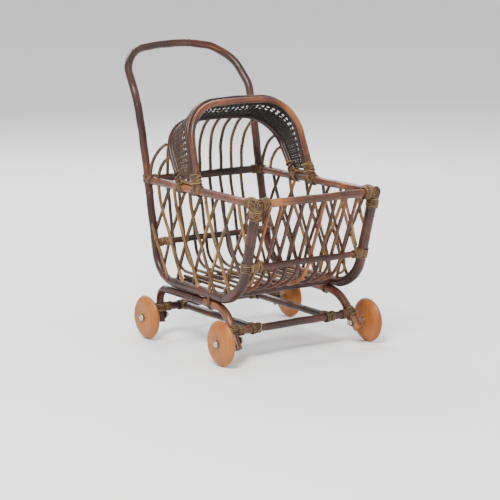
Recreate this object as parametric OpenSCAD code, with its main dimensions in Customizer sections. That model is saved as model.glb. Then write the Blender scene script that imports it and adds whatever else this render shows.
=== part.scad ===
// Rattan doll stroller: an open cane basket with a woven hood and a bent push handle, carried by
// two bent cane arches on four turned wooden wheels.
// X runs across the stroller, the front is towards -Y, the handle is towards +Y, and Z is up.
// The origin is on the ground, in the middle of the outer box.

/* [Basket] */
// Distance between the centre lines of the left and right rim poles
basket_w = 248; // [210:1:300]
// Distance between the centre lines of the front and rear rim poles
basket_l = 349; // [300:1:420]
// Height of the rim centre line above the ground
rim_h = 284; // [260:1:345]
// Drop from the rim centre line to the centre line of the side sills
basket_depth = 177; // [150:1:200]
// Drop from the rim centre line to the centre line of the middle rails
mid_drop = 112; // [90:1:125]
// Backward slope of the front posts, in degrees from upright
front_lean = 15.6; // [8:0.1:20]
// Forward slope of the rear posts, in degrees from upright
rear_lean = 11.5; // [5:0.1:16]
// Bend radius between a sill and its front post
sill_bend = 76; // [50:1:85]
// Bend radius at the foot of a rear post
rear_bend = 58; // [40:1:64]

/* [Poles] */
// Diameter of the rim poles
rim_d = 14.5; // [12:0.5:18]
// Diameter of the sills and front posts
sill_d = 18; // [14:0.5:22]
// Diameter of the handle pole
handle_d = 14.8; // [12:0.2:18]
// Diameter of the middle rails
mid_d = 11.5; // [8:0.5:14]
// Diameter of the rails across the bottom of the basket
bottom_d = 14; // [10:0.5:16]
// Thickness of the cane wound around the joints
wrap_t = 2.6; // [1.5:0.1:3]

/* [Handle] */
// How far the top of the handle lies behind the rear rim
handle_reach = 109.5; // [80:0.5:150]
// Height of the top of the handle above the rim
handle_rise = 236.4; // [180:0.2:300]
// Backward slope of the upper part of the handle, in degrees from upright
handle_lean = 42; // [30:1:60]
// Straight length between the bend and the corner of the handle
handle_neck = 92; // [60:1:120]
// Half the width of the handle at its upper corners
handle_corner = 114.6; // [100:0.2:125]
// Rise of the middle of the grip over its corners
handle_crown = 19.7; // [10:0.1:30]
// Bend radius of the upper corners
handle_corner_r = 68; // [50:1:75]

/* [Hood] */
// Distance from the front rim to the feet of the front hoop
hood_front = 177; // [120:1:200]
// Backward slope of the front hoop, in degrees from upright
hood_lean = 19.6; // [5:0.1:30]
// Length of the front hoop's legs along their slope
hood_leg = 152; // [120:1:180]
// Half the width of the front hoop at its shoulders
hood_shoulder = 114; // [100:1:120]
// Bend radius of the hoops' shoulders
hood_bend = 70; // [50:1:80]
// Distance from the front rim to the feet of the rear hoop
rear_hoop_at = 238.5; // [220:0.5:260]
// Backward slope of the rear hoop, in degrees from upright
rear_hoop_lean = 32.8; // [20:0.1:40]
// Length of the rear hoop's legs along their slope
rear_hoop_leg = 127; // [100:1:140]
// Half the width of the rear hoop at its shoulders
rear_hoop_shoulder = 119; // [100:1:122]
// Diameter of the front hoop pole
hoop_d = 10.5; // [8:0.1:12]
// Diameter of the second hoop pole
second_hoop_d = 9; // [7:0.1:10]
// Diameter of the rear hoop pole
rear_hoop_d = 8.5; // [7:0.1:10]
// Diameter of the rods that edge the woven band
edge_rod_d = 5; // [4:0.1:6]
// Thickness of the woven band
band_t = 3.6; // [2:0.1:5]

/* [Canes] */
// Diameter of the side canes
side_cane_d = 6; // [4:0.1:6.4]
// Distance between neighbouring side canes of one family
side_pitch = 51.5; // [40:0.5:60]
// Diameter of the steep front canes
front_cane_d = 6.4; // [4:0.1:7]
// Diameter of the slanted front canes
slanted_cane_d = 5; // [3.5:0.1:6]
// Distance between neighbouring steep front canes
front_pitch = 23; // [18:0.5:30]
// Diameter of the canes of the back and the floor
rear_cane_d = 6; // [4:0.1:7]
// Distance between neighbouring canes of the back and the floor
rear_pitch = 23.5; // [18:0.5:30]

/* [Chassis] */
// Diameter of the front part of each arch
arch_front_d = 15.6; // [12:0.2:17]
// Diameter of the rear part of each arch
arch_rear_d = 14.2; // [12:0.2:17]
// Bend radius at the front of the arch
arch_front_bend = 60; // [40:1:70]
// Bend radius at the rear of the arch
arch_rear_bend = 20; // [14:1:21]
// Distance from the front rim to the front wheel axles
front_axle_at = 56.9; // [40:0.1:80]
// Distance between the front and rear wheel axles
wheelbase = 243.5; // [220:0.5:280]
// How far the foot of each leg stands outside the sill
leg_splay = 5; // [0:0.5:8]
// How far a leg reaches below its axle
leg_end = 12; // [9:0.5:18]
// Height of the cross rods above the wheel axles
rod_up = 14; // [12:0.5:20]
// Diameter of the cross rods
rod_d = 14; // [10:0.5:16]
// Diameter of the stretchers
stretcher_d = 13; // [10:0.5:14]
// Distance between the centre lines of the two stretchers
stretcher_gap = 160; // [120:1:180]

/* [Wheels] */
// Diameter of a wheel
wheel_d = 80; // [60:1:96]
// Thickness of a wheel
wheel_t = 19; // [14:0.5:24]
// Diameter of the flat face of a wheel
wheel_face_d = 58; // [40:1:58]
// Gap between a leg and its wheel, filled by a spacer tube
wheel_gap = 13; // [8:0.5:16]
// Diameter of the axle bolts
bolt_d = 6; // [4:0.5:8]
// Radial clearance of a wheel on its bolt
bore_clear = 0.05; // [0.02:0.01:0.1]
// End play of a wheel on each side
end_play = 0.4; // [0.3:0.1:1]

/* [Hidden] */
$fn = 48;

// Growth rings of the canes
ring_t = 0.25;
ring_l = 4;
ring_gap = 0.5;
cane_ring_t = 0.3;

// Clearances
lay_gap = 0.2;       // between poles and canes that lie side by side
bolt_hole_gap = 0.2; // around a bolt in a leg, on the diameter

// Main planes
half_w = basket_w / 2;
sill_z = rim_h - basket_depth;
post_top = rim_d / 2;
corner_cap = 6;
corner_wrap_r = sill_d / 2 + wrap_t;
front_extent = corner_cap * sin(front_lean) + corner_wrap_r * cos(front_lean);
overall_l = front_extent + basket_l + handle_reach + handle_d / 2;
front_y = front_extent - overall_l / 2;
rear_y = front_y + basket_l;
front_corner_y = front_y + basket_depth * tan(front_lean);
rear_corner_y = rear_y - basket_depth * tan(rear_lean);
sill_front_y = front_corner_y + sill_bend * tan((90 - front_lean) / 2);
sill_rear_y = rear_corner_y - rear_bend * tan((90 - rear_lean) / 2) - 2;
axle_z = wheel_d / 2;
front_axle_y = front_y + front_axle_at;
rear_axle_y = front_axle_y + wheelbase;

// Colours
dark_cane = [0.36, 0.22, 0.17];
red_cane = [0.46, 0.28, 0.20];
gold_cane = [0.50, 0.38, 0.22];
binding_cane = [0.60, 0.50, 0.33];
wheel_wood = [0.84, 0.58, 0.34];
bolt_steel = [0.66, 0.62, 0.58];

// ---- Poles: straight stretches joined by true round bends ----

function unit(v) = v / norm(v);
function lerp(a, b, t) = a + (b - a) * t;
function turn(a, b, c) = acos(max(-1, min(1, unit(b - a) * unit(c - b))));
function setback(a, b, c, r) = r * tan(turn(a, b, c) / 2);
function bend_centre(a, b, c, r) =
    b + unit(unit(c - b) - unit(b - a)) * r / cos(turn(a, b, c) / 2);
// Points along one bend
function bend_points(a, b, c, r, steps) =
    let (u = unit(b - a), t = setback(a, b, c, r), m = bend_centre(a, b, c, r),
         x = (b - u * t - m) / r, angle = turn(a, b, c))
    [for (i = [0 : steps]) m + r * (cos(angle * i / steps) * x + sin(angle * i / steps) * u)];
// Points along a whole bent centre line
function path_points(pts, radii, steps) = concat(
    [pts[0]],
    [for (i = [1 : len(pts) - 2])
        each bend_points(pts[i - 1], pts[i], pts[i + 1], radii[i - 1], steps)],
    [pts[len(pts) - 1]]);
function shifted(pts, by) = [for (p = pts) p + by];
// Centre line of a loop from the list of points of its left half
function both_sides(half, middle) = concat(
    half, [middle], [for (i = [len(half) - 1 : -1 : 0]) [-half[i][0], half[i][1], half[i][2]]]);

// Local frame with its Z axis along w and its X axis along x, placed at m
module framed(m, x, y, w) {
    multmatrix([
        [x[0], y[0], w[0], m[0]],
        [x[1], y[1], w[1], m[1]],
        [x[2], y[2], w[2], m[2]],
        [0, 0, 0, 1]]) children();
}

module rod(a, b, d) {
    w = unit(b - a);
    side = abs(w[2]) < 0.9 ? [0, 0, 1] : [1, 0, 0];
    x = unit(cross(side, w));
    framed(a, x, cross(w, x), w) cylinder(d = d, h = norm(b - a));
}

// The bend at b, shortened by trim at both ends
module bend(a, b, c, r, d, trim = 0) {
    u = unit(b - a);
    w = unit(cross(u, unit(c - b)));
    m = bend_centre(a, b, c, r);
    x = (b - u * setback(a, b, c, r) - m) / r;
    less = trim / r * 180 / PI;
    framed(m, x, u, w) rotate([0, 0, less])
        rotate_extrude(angle = turn(a, b, c) - 2 * less) translate([r, 0]) circle(d = d);
}

function setbacks(pts, radii) =
    let (last = len(pts) - 1)
    [for (i = [0 : last])
        i == 0 || i == last ? 0 : setback(pts[i - 1], pts[i], pts[i + 1], radii[i - 1])];

// A pole along pts with the bend radii of its inner points. A growth ring of the cane sits where
// each bend starts and ends.
module pole(pts, radii, d) {
    last = len(pts) - 1;
    cut = setbacks(pts, radii);
    for (i = [0 : last - 1]) {
        along = unit(pts[i + 1] - pts[i]);
        start = pts[i] + along * cut[i];
        end = pts[i + 1] - along * cut[i + 1];
        rod(start + along * (i > 0 ? ring_gap : 0),
            end - along * (i < last - 1 ? ring_gap : 0), d);
        if (i > 0)
            rod(start - along * ring_l / 2, start + along * ring_l / 2, d + 2 * ring_t);
        if (i < last - 1)
            rod(end - along * ring_l / 2, end + along * ring_l / 2, d + 2 * ring_t);
    }
    for (i = [1 : last - 1])
        bend(pts[i - 1], pts[i], pts[i + 1], radii[i - 1], d, ring_gap);
}

// The same pole without its rings, for coping a neighbour against it
module pole_cut(pts, radii, d) {
    last = len(pts) - 1;
    cut = setbacks(pts, radii);
    for (i = [0 : last - 1]) {
        along = unit(pts[i + 1] - pts[i]);
        rod(pts[i] + along * (cut[i] - (i > 0 ? 2 : 0)),
            pts[i + 1] - along * (cut[i + 1] - (i < last - 1 ? 2 : 0)), d);
    }
    for (i = [1 : last - 1])
        bend(pts[i - 1], pts[i], pts[i + 1], radii[i - 1], d);
}

// A thin cane along pts, with a round knuckle at each turn that joins the two stretches
module cane(pts, d) {
    last = len(pts) - 1;
    trims = [for (i = [0 : last])
        i == 0 || i == last ? 0
        : d / 2 * tan(turn(pts[i - 1], pts[i], pts[i + 1]) / 2) + ring_gap];
    for (i = [0 : last - 1]) {
        along = unit(pts[i + 1] - pts[i]);
        rod(pts[i] + along * trims[i], pts[i + 1] - along * trims[i + 1], d);
    }
    for (i = [1 : last - 1])
        translate(pts[i]) sphere(d = 2 * norm([d / 2, trims[i]]) + cane_ring_t);
}

// A wound binding around the stretch from a to b of a pole of diameter d
module wound(a, b, d) {
    rod(a, b, d + 2 * wrap_t);
}

// ---- Frame of the basket ----

handle_up = [0, sin(handle_lean), cos(handle_lean)];
crown_bend = 300;
elbow_spread = 2.5;
crown_turn = atan(handle_crown / handle_corner);
handle_top = [0, rear_y + handle_reach, rim_h + handle_rise];
handle_middle = handle_top + handle_up * crown_bend * (1 / cos(crown_turn) - 1);
handle_shoulder = handle_middle - handle_up * handle_crown - [handle_corner, 0, 0];
handle_elbow = handle_shoulder - handle_up * handle_neck - [half_w + elbow_spread - handle_corner, 0, 0];
knee_rise = 77;
handle_knee = [-half_w, rear_y + knee_rise * tan(rear_lean), rim_h + knee_rise];
handle_half = [
    [-half_w, sill_rear_y, sill_z],
    [-half_w, rear_corner_y, sill_z],
    handle_knee,
    handle_elbow,
    handle_shoulder];
handle_radii = [rear_bend, 120, 62, handle_corner_r, crown_bend,
                handle_corner_r, 62, 120, rear_bend];

module push_handle() {
    color(dark_cane) pole(both_sides(handle_half, handle_middle), handle_radii, handle_d);
}

post_dir = [0, -sin(front_lean), cos(front_lean)];
function post_point(side, up) =
    [side * half_w, front_y, rim_h] + post_dir * (up / cos(front_lean));

function side_frame_path(side) = [
    post_point(side, post_top),
    [side * half_w, front_corner_y, sill_z],
    [side * half_w, sill_rear_y, sill_z]];

module side_frame(side) {
    color(dark_cane) pole(side_frame_path(side), [sill_bend], sill_d);
}

cut_past = 20; // how far a cutter runs past the pole it stands for

// Straight stand-ins for the poles where a rail is coped against them
module front_posts_cut() {
    for (side = [-1, 1])
        rod(post_point(side, post_top + cut_past), post_point(side, -mid_drop - mid_d), sill_d);
}

module rear_posts_cut() {
    for (side = [-1, 1])
        rod([side * half_w, rear_corner_y, sill_z],
            [side * half_w, handle_knee[1], handle_knee[2]], handle_d);
}

module rim_side_rod(side) {
    rod([side * half_w, front_y, rim_h], [side * half_w, rear_y, rim_h], rim_d);
}

module rim_side(side) {
    color(red_cane) difference() {
        rim_side_rod(side);
        front_posts_cut();
        rear_posts_cut();
    }
}

module rim_front() {
    color(red_cane) difference() {
        rod([-half_w, front_y, rim_h], [half_w, front_y, rim_h], rim_d);
        front_posts_cut();
    }
}

module rim_rear() {
    color(dark_cane) difference() {
        rod([-half_w, rear_y, rim_h], [half_w, rear_y, rim_h], rim_d);
        rear_posts_cut();
        for (side = [-1, 1])
            rod([side * half_w, front_y, rim_h], [side * half_w, rear_y + rim_d, rim_h],
                rim_d + 2 * lay_gap);
    }
}

// The canes of the front and back pass behind their middle rails
mid_out = 6;
steep_in = ((mid_d + front_cane_d) / 2 + lay_gap + cane_ring_t) / cos(front_lean) - mid_out;
slanted_in = steep_in + (front_cane_d + slanted_cane_d) / 2 + lay_gap + 2 * cane_ring_t;
mid_z = rim_h - mid_drop;
front_mid_y = front_y + mid_drop * tan(front_lean) - mid_out;
rear_mid_y = rear_y - mid_drop * tan(rear_lean) - mid_out;
front_rail_y = sill_front_y + bottom_d / 2 + ring_l;
rear_rail_y = sill_rear_y - bottom_d / 2 - 1;

module mid_rail_front() {
    color(dark_cane) difference() {
        rod([-half_w, front_mid_y, mid_z], [half_w, front_mid_y, mid_z], mid_d);
        front_posts_cut();
    }
}

module mid_rail_rear() {
    color(dark_cane) difference() {
        rod([-half_w, rear_mid_y, mid_z], [half_w, rear_mid_y, mid_z], mid_d);
        rear_posts_cut();
    }
}

module bottom_rail(y) {
    color(dark_cane) difference() {
        rod([-half_w, y, sill_z], [half_w, y, sill_z], bottom_d);
        for (side = [-1, 1])
            rod([side * half_w, y - sill_d, sill_z], [side * half_w, y + sill_d, sill_z], sill_d);
    }
}

// ---- Hood ----

// Left half and middle of a hoop that stands on the rims
function hoop_half(foot_y, lean, leg, shoulder) = [
    [-half_w, foot_y, rim_h],
    [-shoulder, foot_y + leg * sin(lean), rim_h + leg * cos(lean)]];
function hoop_middle(foot_y, lean, leg, crown) =
    [0, foot_y + (leg + crown) * sin(lean), rim_h + (leg + crown) * cos(lean)];
function hoop_path(foot_y, lean, leg, shoulder, crown) =
    both_sides(hoop_half(foot_y, lean, leg, shoulder), hoop_middle(foot_y, lean, leg, crown));

hoop_crown = 5;
hoop_top_bend = 420;
hoop_radii = [hood_bend, hoop_top_bend, hood_bend];
second_hoop_gap = 1.6;    // its foot stands off, because it leans in towards the front hoop
second_hoop_turn = 0.6;   // degrees
second_hoop_rise = 3.3;
second_hoop_spread = 1;
front_hoop_y = front_y + hood_front;
second_hoop_y = front_hoop_y
    + (hoop_d + second_hoop_d + 2 * lay_gap) / 2 / cos(hood_lean) + second_hoop_gap;
edge_rod_y = second_hoop_y
    + (second_hoop_d + edge_rod_d + 2 * lay_gap) / 2 / cos(hood_lean);
rear_hoop_y = front_y + rear_hoop_at;
inner_hoop_d = 7;
inner_hoop_y = rear_hoop_y
    - (rear_hoop_d + inner_hoop_d + 2 * lay_gap) / 2 / cos(rear_hoop_lean);
front_hoop = hoop_path(front_hoop_y, hood_lean, hood_leg, hood_shoulder, hoop_crown);
second_hoop = hoop_path(second_hoop_y, hood_lean - second_hoop_turn, hood_leg + second_hoop_rise,
                        hood_shoulder + second_hoop_spread, hoop_crown);
edge_rod = shifted(second_hoop, [0, edge_rod_y - second_hoop_y, 0]);
rear_hoop = hoop_path(rear_hoop_y, rear_hoop_lean, rear_hoop_leg, rear_hoop_shoulder, hoop_crown);
inner_hoop = shifted(rear_hoop, [0, inner_hoop_y - rear_hoop_y, 0]);

module hoop(path, d) {
    difference() {
        pole(path, hoop_radii, d);
        rim_side_rod(-1);
        rim_side_rod(1);
    }
}

module hood_front_hoop() {
    color(red_cane) hoop(front_hoop, hoop_d);
}

module hood_second_hoop() {
    color(dark_cane) hoop(second_hoop, second_hoop_d);
}

module hood_rear_hoop() {
    color(dark_cane) hoop(rear_hoop, rear_hoop_d);
}

module hood_inner_hoop() {
    color(dark_cane) hoop(inner_hoop, inner_hoop_d);
}

module hood_edge_rod() {
    color(dark_cane) hoop(edge_rod, edge_rod_d);
}

// Short rods on the rims that close the band between the hoops
doubler_d = 7;
doubler_z = rim_h + (rim_d + doubler_d) / 2;

module rim_doubler(side) {
    color(gold_cane) difference() {
        rod([side * half_w, edge_rod_y, doubler_z], [side * half_w, rear_hoop_y, doubler_z],
            doubler_d);
        hoop_leg_cut(side, second_hoop, second_hoop_d);
        hoop_leg_cut(side, edge_rod, edge_rod_d);
        hoop_leg_cut(side, inner_hoop, inner_hoop_d);
        hoop_leg_cut(side, rear_hoop, rear_hoop_d + 2 * wrap_t);
    }
}

// The straight foot of one leg of a hoop
module hoop_leg_cut(side, path, d) {
    foot = path[0];
    knee = path[1];
    a = [side * -foot[0], foot[1], foot[2]];
    b = [side * -knee[0], knee[1], knee[2]];
    rod(a - unit(b - a) * 8, lerp(a, b, 0.3), d);
}

// The woven band, a curved strip that fills the space between the edge rod and the inner hoop
band_steps = 8;
band_foot = 0.13;
band_edge_gap = 0.3;
function band_line(path) =
    let (line = path_points(path, hoop_radii, band_steps), last = len(line) - 1)
    [for (i = [0 : last])
        i == 0 ? lerp(path[0], path[1], band_foot)
        : i == last ? lerp(path[4], path[3], band_foot)
        : line[i]];

module hood_band() {
    front_line = band_line(edge_rod);
    rear_line = band_line(inner_hoop);
    last = len(front_line) - 1;
    front_in = edge_rod_d / 2 + band_edge_gap;
    rear_in = inner_hoop_d / 2 + band_edge_gap;
    corners = [for (i = [0 : last])
        let (p = front_line[i], q = rear_line[i], e = unit(q - p),
             along = front_line[min(i + 1, last)] - front_line[max(i - 1, 0)],
             n = unit(cross(along, e)) * band_t / 2,
             a = p + e * front_in, b = q - e * rear_in)
        each [a + n, b + n, b - n, a - n]];
    sides = [for (i = [0 : last - 1], k = [0 : 3])
        let (m = (k + 1) % 4)
        each [[4 * i + k, 4 * i + m, 4 * i + 4 + m], [4 * i + k, 4 * i + 4 + m, 4 * i + 4 + k]]];
    ends = [[3, 2, 1, 0], [4 * last, 4 * last + 1, 4 * last + 2, 4 * last + 3]];
    color(gold_cane) polyhedron(corners, concat(sides, ends), convexity = 6);
}

// Canes that rise from the rear rim, and two on each side rim, and lean over to the rear hoop
hood_cane_turn = 58;
hood_cane_count = 8;
side_hood_canes = [[9, 70], [36, 48]];

// Point of the rear hoop at a distance x from the middle
function hoop_at(x) =
    let (line = path_points(rear_hoop, hoop_radii, 10),
         near = [for (i = [0 : len(line) - 2])
             if (line[i][0] <= x && line[i + 1][0] > x) i][0],
         a = line[near], b = line[near + 1])
    lerp(a, b, (x - a[0]) / (b[0] - a[0]));

// Points of a cane that rises upright from foot and then turns through angle to end
function leaning_cane(foot, end, angle, steps) =
    let (reach = foot[1] - end[1], r = reach / (1 - cos(angle)), low = end[2] - r * sin(angle),
         first = low > foot[2] + 2 ? 0 : 1)
    concat([foot], [for (i = [first : steps])
        let (a = angle * i / steps, t = (1 - cos(a)) * r / reach)
        [foot[0] + (end[0] - foot[0]) * t, foot[1] - reach * t, low + r * sin(a)]]);

// How far the foot of a hood cane stands off its place on the rim
foot_stray = 0.6;
// How far behind the rear hoop the canes end
hood_tuck = (rear_hoop_d + rear_cane_d) / 2 + lay_gap + cane_ring_t;
tuck_back = 0.85; // shares of hood_tuck, because the canes end under the hoop and behind it
tuck_down = 0.55;
side_end_in = 4;

module back_hood_cane(x) {
    end = hoop_at(x) + hood_tuck * [0, tuck_back, -tuck_down];
    difference() {
        cane(leaning_cane([x + foot_stray, rear_y - foot_stray / 3, rim_h], end, hood_cane_turn, 3),
             rear_cane_d);
        rod([x - rear_pitch, rear_y, rim_h], [x + rear_pitch, rear_y, rim_h], rim_d);
    }
}

// A cane from the side rim to the rear hoop; spot is its place before the rear rim and its height
module side_hood_cane(side, spot) {
    foot = [side * half_w, rear_y - spot[0], rim_h];
    end = [side * (half_w - side_end_in), rear_hoop_y + spot[1] * tan(rear_hoop_lean) + hood_tuck,
           rim_h + spot[1]];
    whole_turn = 2 * atan((foot[1] - end[1]) / spot[1]);
    difference() {
        cane(leaning_cane(foot, end, whole_turn, 2), rear_cane_d);
        rim_side_rod(side);
    }
}

module hood_canes() {
    color(gold_cane) {
        for (i = [0 : hood_cane_count - 1])
            back_hood_cane((i - (hood_cane_count - 1) / 2) * rear_pitch);
        for (side = [-1, 1], spot = side_hood_canes)
            side_hood_cane(side, spot);
    }
}

// ---- Canes of the basket ----

// Outline of the side of the basket along the centre lines of its poles, as [y, z]
function side_outline() =
    let (front = path_points(side_frame_path(1), [sill_bend], 10),
         rear = path_points([[half_w, sill_rear_y, sill_z], [half_w, rear_corner_y, sill_z],
                             [half_w, rear_y, rim_h]], [rear_bend], 10))
    [for (p = concat([[half_w, front_y, rim_h]], [for (i = [1 : len(front) - 1]) front[i]], rear))
        [p[1], p[2]]];

// Shares of the way from a to b, and from p to q, where the two lines cross, all as [y, z]
function crossing(a, b, p, q) =
    let (u = b - a, v = q - p, w = p - a, k = u[0] * v[1] - u[1] * v[0])
    abs(k) < 1e-6 ? [2, 2] : [(w[0] * v[1] - w[1] * v[0]) / k, (w[0] * u[1] - w[1] * u[0]) / k];
// Points where the line from a to b crosses the outline below the rim, nearest to a first
function outline_hits(a, b) =
    let (line = side_outline(), last = len(line) - 1,
         found = [for (i = [0 : last - 1])
             let (t = crossing(a, b, line[i], line[i + 1]))
             if (t[0] > 0 && t[0] <= 1.01 && t[1] >= 0 && t[1] < 1) t[0]])
    len(found) == 0 ? []
    : len(found) == 1 ? [lerp(a, b, found[0])]
    : [lerp(a, b, min(found)), lerp(a, b, max(found))];
// Direction of the outline where the line from a to b crosses it at p
function outline_way(a, b, p) =
    let (line = side_outline(), last = len(line) - 1,
         found = [for (i = [0 : last - 1])
             let (t = crossing(a, b, line[i], line[i + 1]), q = lerp(a, b, t[0]))
             if (t[1] >= 0 && t[1] < 1 && norm(q - p) < 0.01) unit(line[i + 1] - line[i])])
    len(found) == 0 ? [1, 0] : found[0];
function inside_posts(p) =
    p[0] > front_y + (rim_h - p[1]) * tan(front_lean)
    && p[0] < rear_y - (rim_h - p[1]) * tan(rear_lean);

// Ways of the side canes as [run, drop] from their starts at the rim. One family bends away from
// upright a little below the rim, the other becomes steeper further down.
outer_knee = [9, 44];
outer_run = 84;
inner_knee = [62, 109];
inner_run = 84;
outer_starts = [for (i = [0 : 6]) rear_y + 10 - i * side_pitch];
inner_starts = [for (i = [0 : 5]) rear_y - 73 - i * side_pitch];

// The part of a side cane inside the frame, as a list of [y, z] points
function side_cane_way(start, knee, run, way) =
    let (a = [start, rim_h], b = [start + way * knee[0], rim_h - knee[1]],
         c = [start + way * run, sill_z], low = outline_hits(b, c), high = outline_hits(a, b))
    inside_posts(b)
        ? concat(inside_posts(a) ? [a] : high, [b], len(low) > 0 ? [low[0]] : [c])
        : inside_posts(a) && len(high) > 0 ? [a, high[0]]
        : len(low) > 1 ? low : [];

// How far the cut for a cane's end reaches along the pole that it meets
end_cut_reach = 40;

// A straight cutter along the pole that the side cane from q meets at p
module end_cut(side, p, q) {
    at = [side * half_w, p[0], p[1]];
    way = outline_way(q, p, p);
    along = [0, way[0], way[1]] * end_cut_reach;
    d = p[1] > rim_h - 0.01 ? rim_d : p[0] > sill_rear_y ? handle_d : sill_d;
    rod(at - along, at + along, d + 2 * lay_gap);
}

// How far a side cane strays from its plane at each turn, away from the other family
side_stray = 0.3;

module side_canes(side, outer) {
    shift = (side_cane_d + lay_gap) / 2 + cane_ring_t;
    x = side * (outer ? half_w + shift : half_w - shift);
    starts = outer ? outer_starts : inner_starts;
    color(outer ? red_cane : gold_cane)
        for (start = starts) {
            way = outer ? side_cane_way(start, outer_knee, outer_run, -1)
                        : side_cane_way(start, inner_knee, inner_run, 1);
            if (len(way) > 1)
                difference() {
                    cane([for (i = [0 : len(way) - 1])
                        [x + side * (outer ? 1 : -1) * i * side_stray, way[i][0], way[i][1]]],
                        side_cane_d);
                    end_cut(side, way[0], way[1]);
                    end_cut(side, way[len(way) - 1], way[len(way) - 2]);
                }
        }
}

floor_z = sill_z + (bottom_d + front_cane_d) / 2 + lay_gap + cane_ring_t;
slanted_floor_z = floor_z + slanted_in - steep_in;

// One front cane: down behind the middle rail, then back under the basket to the bottom rail.
// It starts on the rim, or beside a front post if its start would lie beyond the post, and it ends
// beside the other post if it would run past it.
front_limit_in = 8;
front_limit = half_w - front_limit_in;
front_bend_in = 12;  // tighter than the sill's bend, because the canes lie inside it
rear_bend_in = 14;
front_drift = 20;    // how far a cane with a slope of 1 would drift along the floor
module front_cane(x, slope, inward, low_z, d) {
    drop = rim_h - low_z;
    start = [x, front_y + inward, rim_h];
    knee = [x + slope * drop, start[1] + drop * tan(front_lean), low_z];
    end = [knee[0] + slope * front_drift, front_rail_y, low_z];
    line = path_points([start, knee, end], [sill_bend - front_bend_in], 3);
    inside = [for (p = line) if (abs(p[0]) < front_limit) p];
    last = len(line) - 1;
    firsts = [for (i = [0 : last - 1])
        if (abs(line[i][0]) >= front_limit && abs(line[i + 1][0]) < front_limit)
            post_meeting(line[i], line[i + 1])];
    lasts = [for (i = [0 : last - 1])
        if (abs(line[i][0]) < front_limit && abs(line[i + 1][0]) >= front_limit)
            post_meeting(line[i + 1], line[i])];
    cane(concat(firsts, inside, lasts), d);
}
function post_meeting(out, in) =
    lerp(out, in, (abs(out[0]) - front_limit) / (abs(out[0]) - abs(in[0])));

module front_canes_cut() {
    for (side = [-1, 1])
        pole_cut(side_frame_path(side), [sill_bend], sill_d);
    rod([-half_w, front_y, rim_h], [half_w, front_y, rim_h], rim_d);
}

steep_slope = -0.1;
slanted_slope = 0.49;
steep_count = 9;
slanted_pitch = 33;

module front_canes_steep() {
    color(red_cane) difference() {
        for (i = [0 : steep_count - 1])
            front_cane((i - (steep_count - 1) / 2) * front_pitch, steep_slope, steep_in, floor_z,
                       front_cane_d);
        front_canes_cut();
    }
}

module front_canes_slanted() {
    color(gold_cane) difference() {
        for (x = [-half_w - 40 : slanted_pitch : half_w - 40])
            front_cane(x, slanted_slope, slanted_in, slanted_floor_z, slanted_cane_d);
        front_canes_cut();
    }
}

module rear_cane(x) {
    drop = rim_h - floor_z;
    back = rear_y - mid_out + mid_d / 2 + rear_cane_d / 2 + lay_gap + cane_ring_t;
    cane(path_points([[x, back, rim_h],
                      [x, back - drop * tan(rear_lean), floor_z],
                      [x, rear_rail_y, floor_z]], [rear_bend - rear_bend_in], 3), rear_cane_d);
}

module rear_canes() {
    color(gold_cane) difference() {
        for (i = [0 : hood_cane_count - 1])
            rear_cane((i - (hood_cane_count - 1) / 2) * rear_pitch);
        rod([-half_w, rear_y, rim_h], [half_w, rear_y, rim_h], rim_d);
    }
}

module floor_canes() {
    color(gold_cane)
        for (i = [-1 : hood_cane_count]) {
            x = (i - (hood_cane_count - 1) / 2) * rear_pitch;
            rod([x, front_rail_y, floor_z], [x, rear_rail_y, floor_z], rear_cane_d);
        }
}

// ---- Chassis ----

arch_z = sill_z - (sill_d + arch_front_d) / 2 - lay_gap;
leg_x = half_w + leg_splay;
splice_at = 157;          // back from the front rim
front_leg_slope = 0.77;
rear_leg_slope = 0.26;
splice_y = front_y + splice_at;
front_shoulder_y = front_axle_y + (arch_z - axle_z) * front_leg_slope;
rear_shoulder_y = rear_axle_y + (arch_z - axle_z) * rear_leg_slope;

// Point of a leg at a height: the leg runs from the shoulder of the arch through the axle
function leg_point(side, shoulder_y, axle_y, z) =
    lerp([side * half_w, shoulder_y, arch_z], [side * leg_x, axle_y, axle_z],
         (arch_z - z) / (arch_z - axle_z));
function front_leg(side, z) = leg_point(side, front_shoulder_y, front_axle_y, z);
function rear_leg(side, z) = leg_point(side, rear_shoulder_y, rear_axle_y, z);

// The hole for a bolt through a leg, with a small flat around each mouth
module bolt_hole(side, y) {
    translate([side * leg_x, y, axle_z]) rotate([0, 90, 0]) {
        cylinder(d = bolt_d + bolt_hole_gap, h = 3 * arch_front_d, center = true);
        for (end = [-1, 1])
            translate([0, 0, end * (leg_out + arch_front_d / 2)])
                cylinder(d = washer_d + 1, h = arch_front_d, center = true);
    }
}

module arch_front(side) {
    color(dark_cane) difference() {
        pole([front_leg(side, axle_z - leg_end), front_leg(side, arch_z),
              [side * half_w, splice_y, arch_z]], [arch_front_bend], arch_front_d);
        bolt_hole(side, front_axle_y);
    }
}

module arch_rear(side) {
    color(dark_cane) difference() {
        pole([rear_leg(side, axle_z - leg_end), rear_leg(side, arch_z),
              [side * half_w, splice_y, arch_z]], [arch_rear_bend], arch_rear_d);
        bolt_hole(side, rear_axle_y);
    }
}

rod_z = axle_z + rod_up;
front_rod_y = front_leg(1, rod_z)[1];
rear_rod_y = rear_leg(1, rod_z)[1];
rod_half = front_leg(1, rod_z)[0];

module legs_cut() {
    for (side = [-1, 1]) {
        rod(front_leg(side, axle_z - leg_end), front_leg(side, rod_z + cut_past), arch_front_d);
        rod(rear_leg(side, axle_z - leg_end), rear_leg(side, rod_z + 14), arch_rear_d);
    }
}

module axle_rod(y) {
    color(dark_cane) difference() {
        rod([-rod_half, y, rod_z], [rod_half, y, rod_z], rod_d);
        legs_cut();
    }
}

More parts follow.
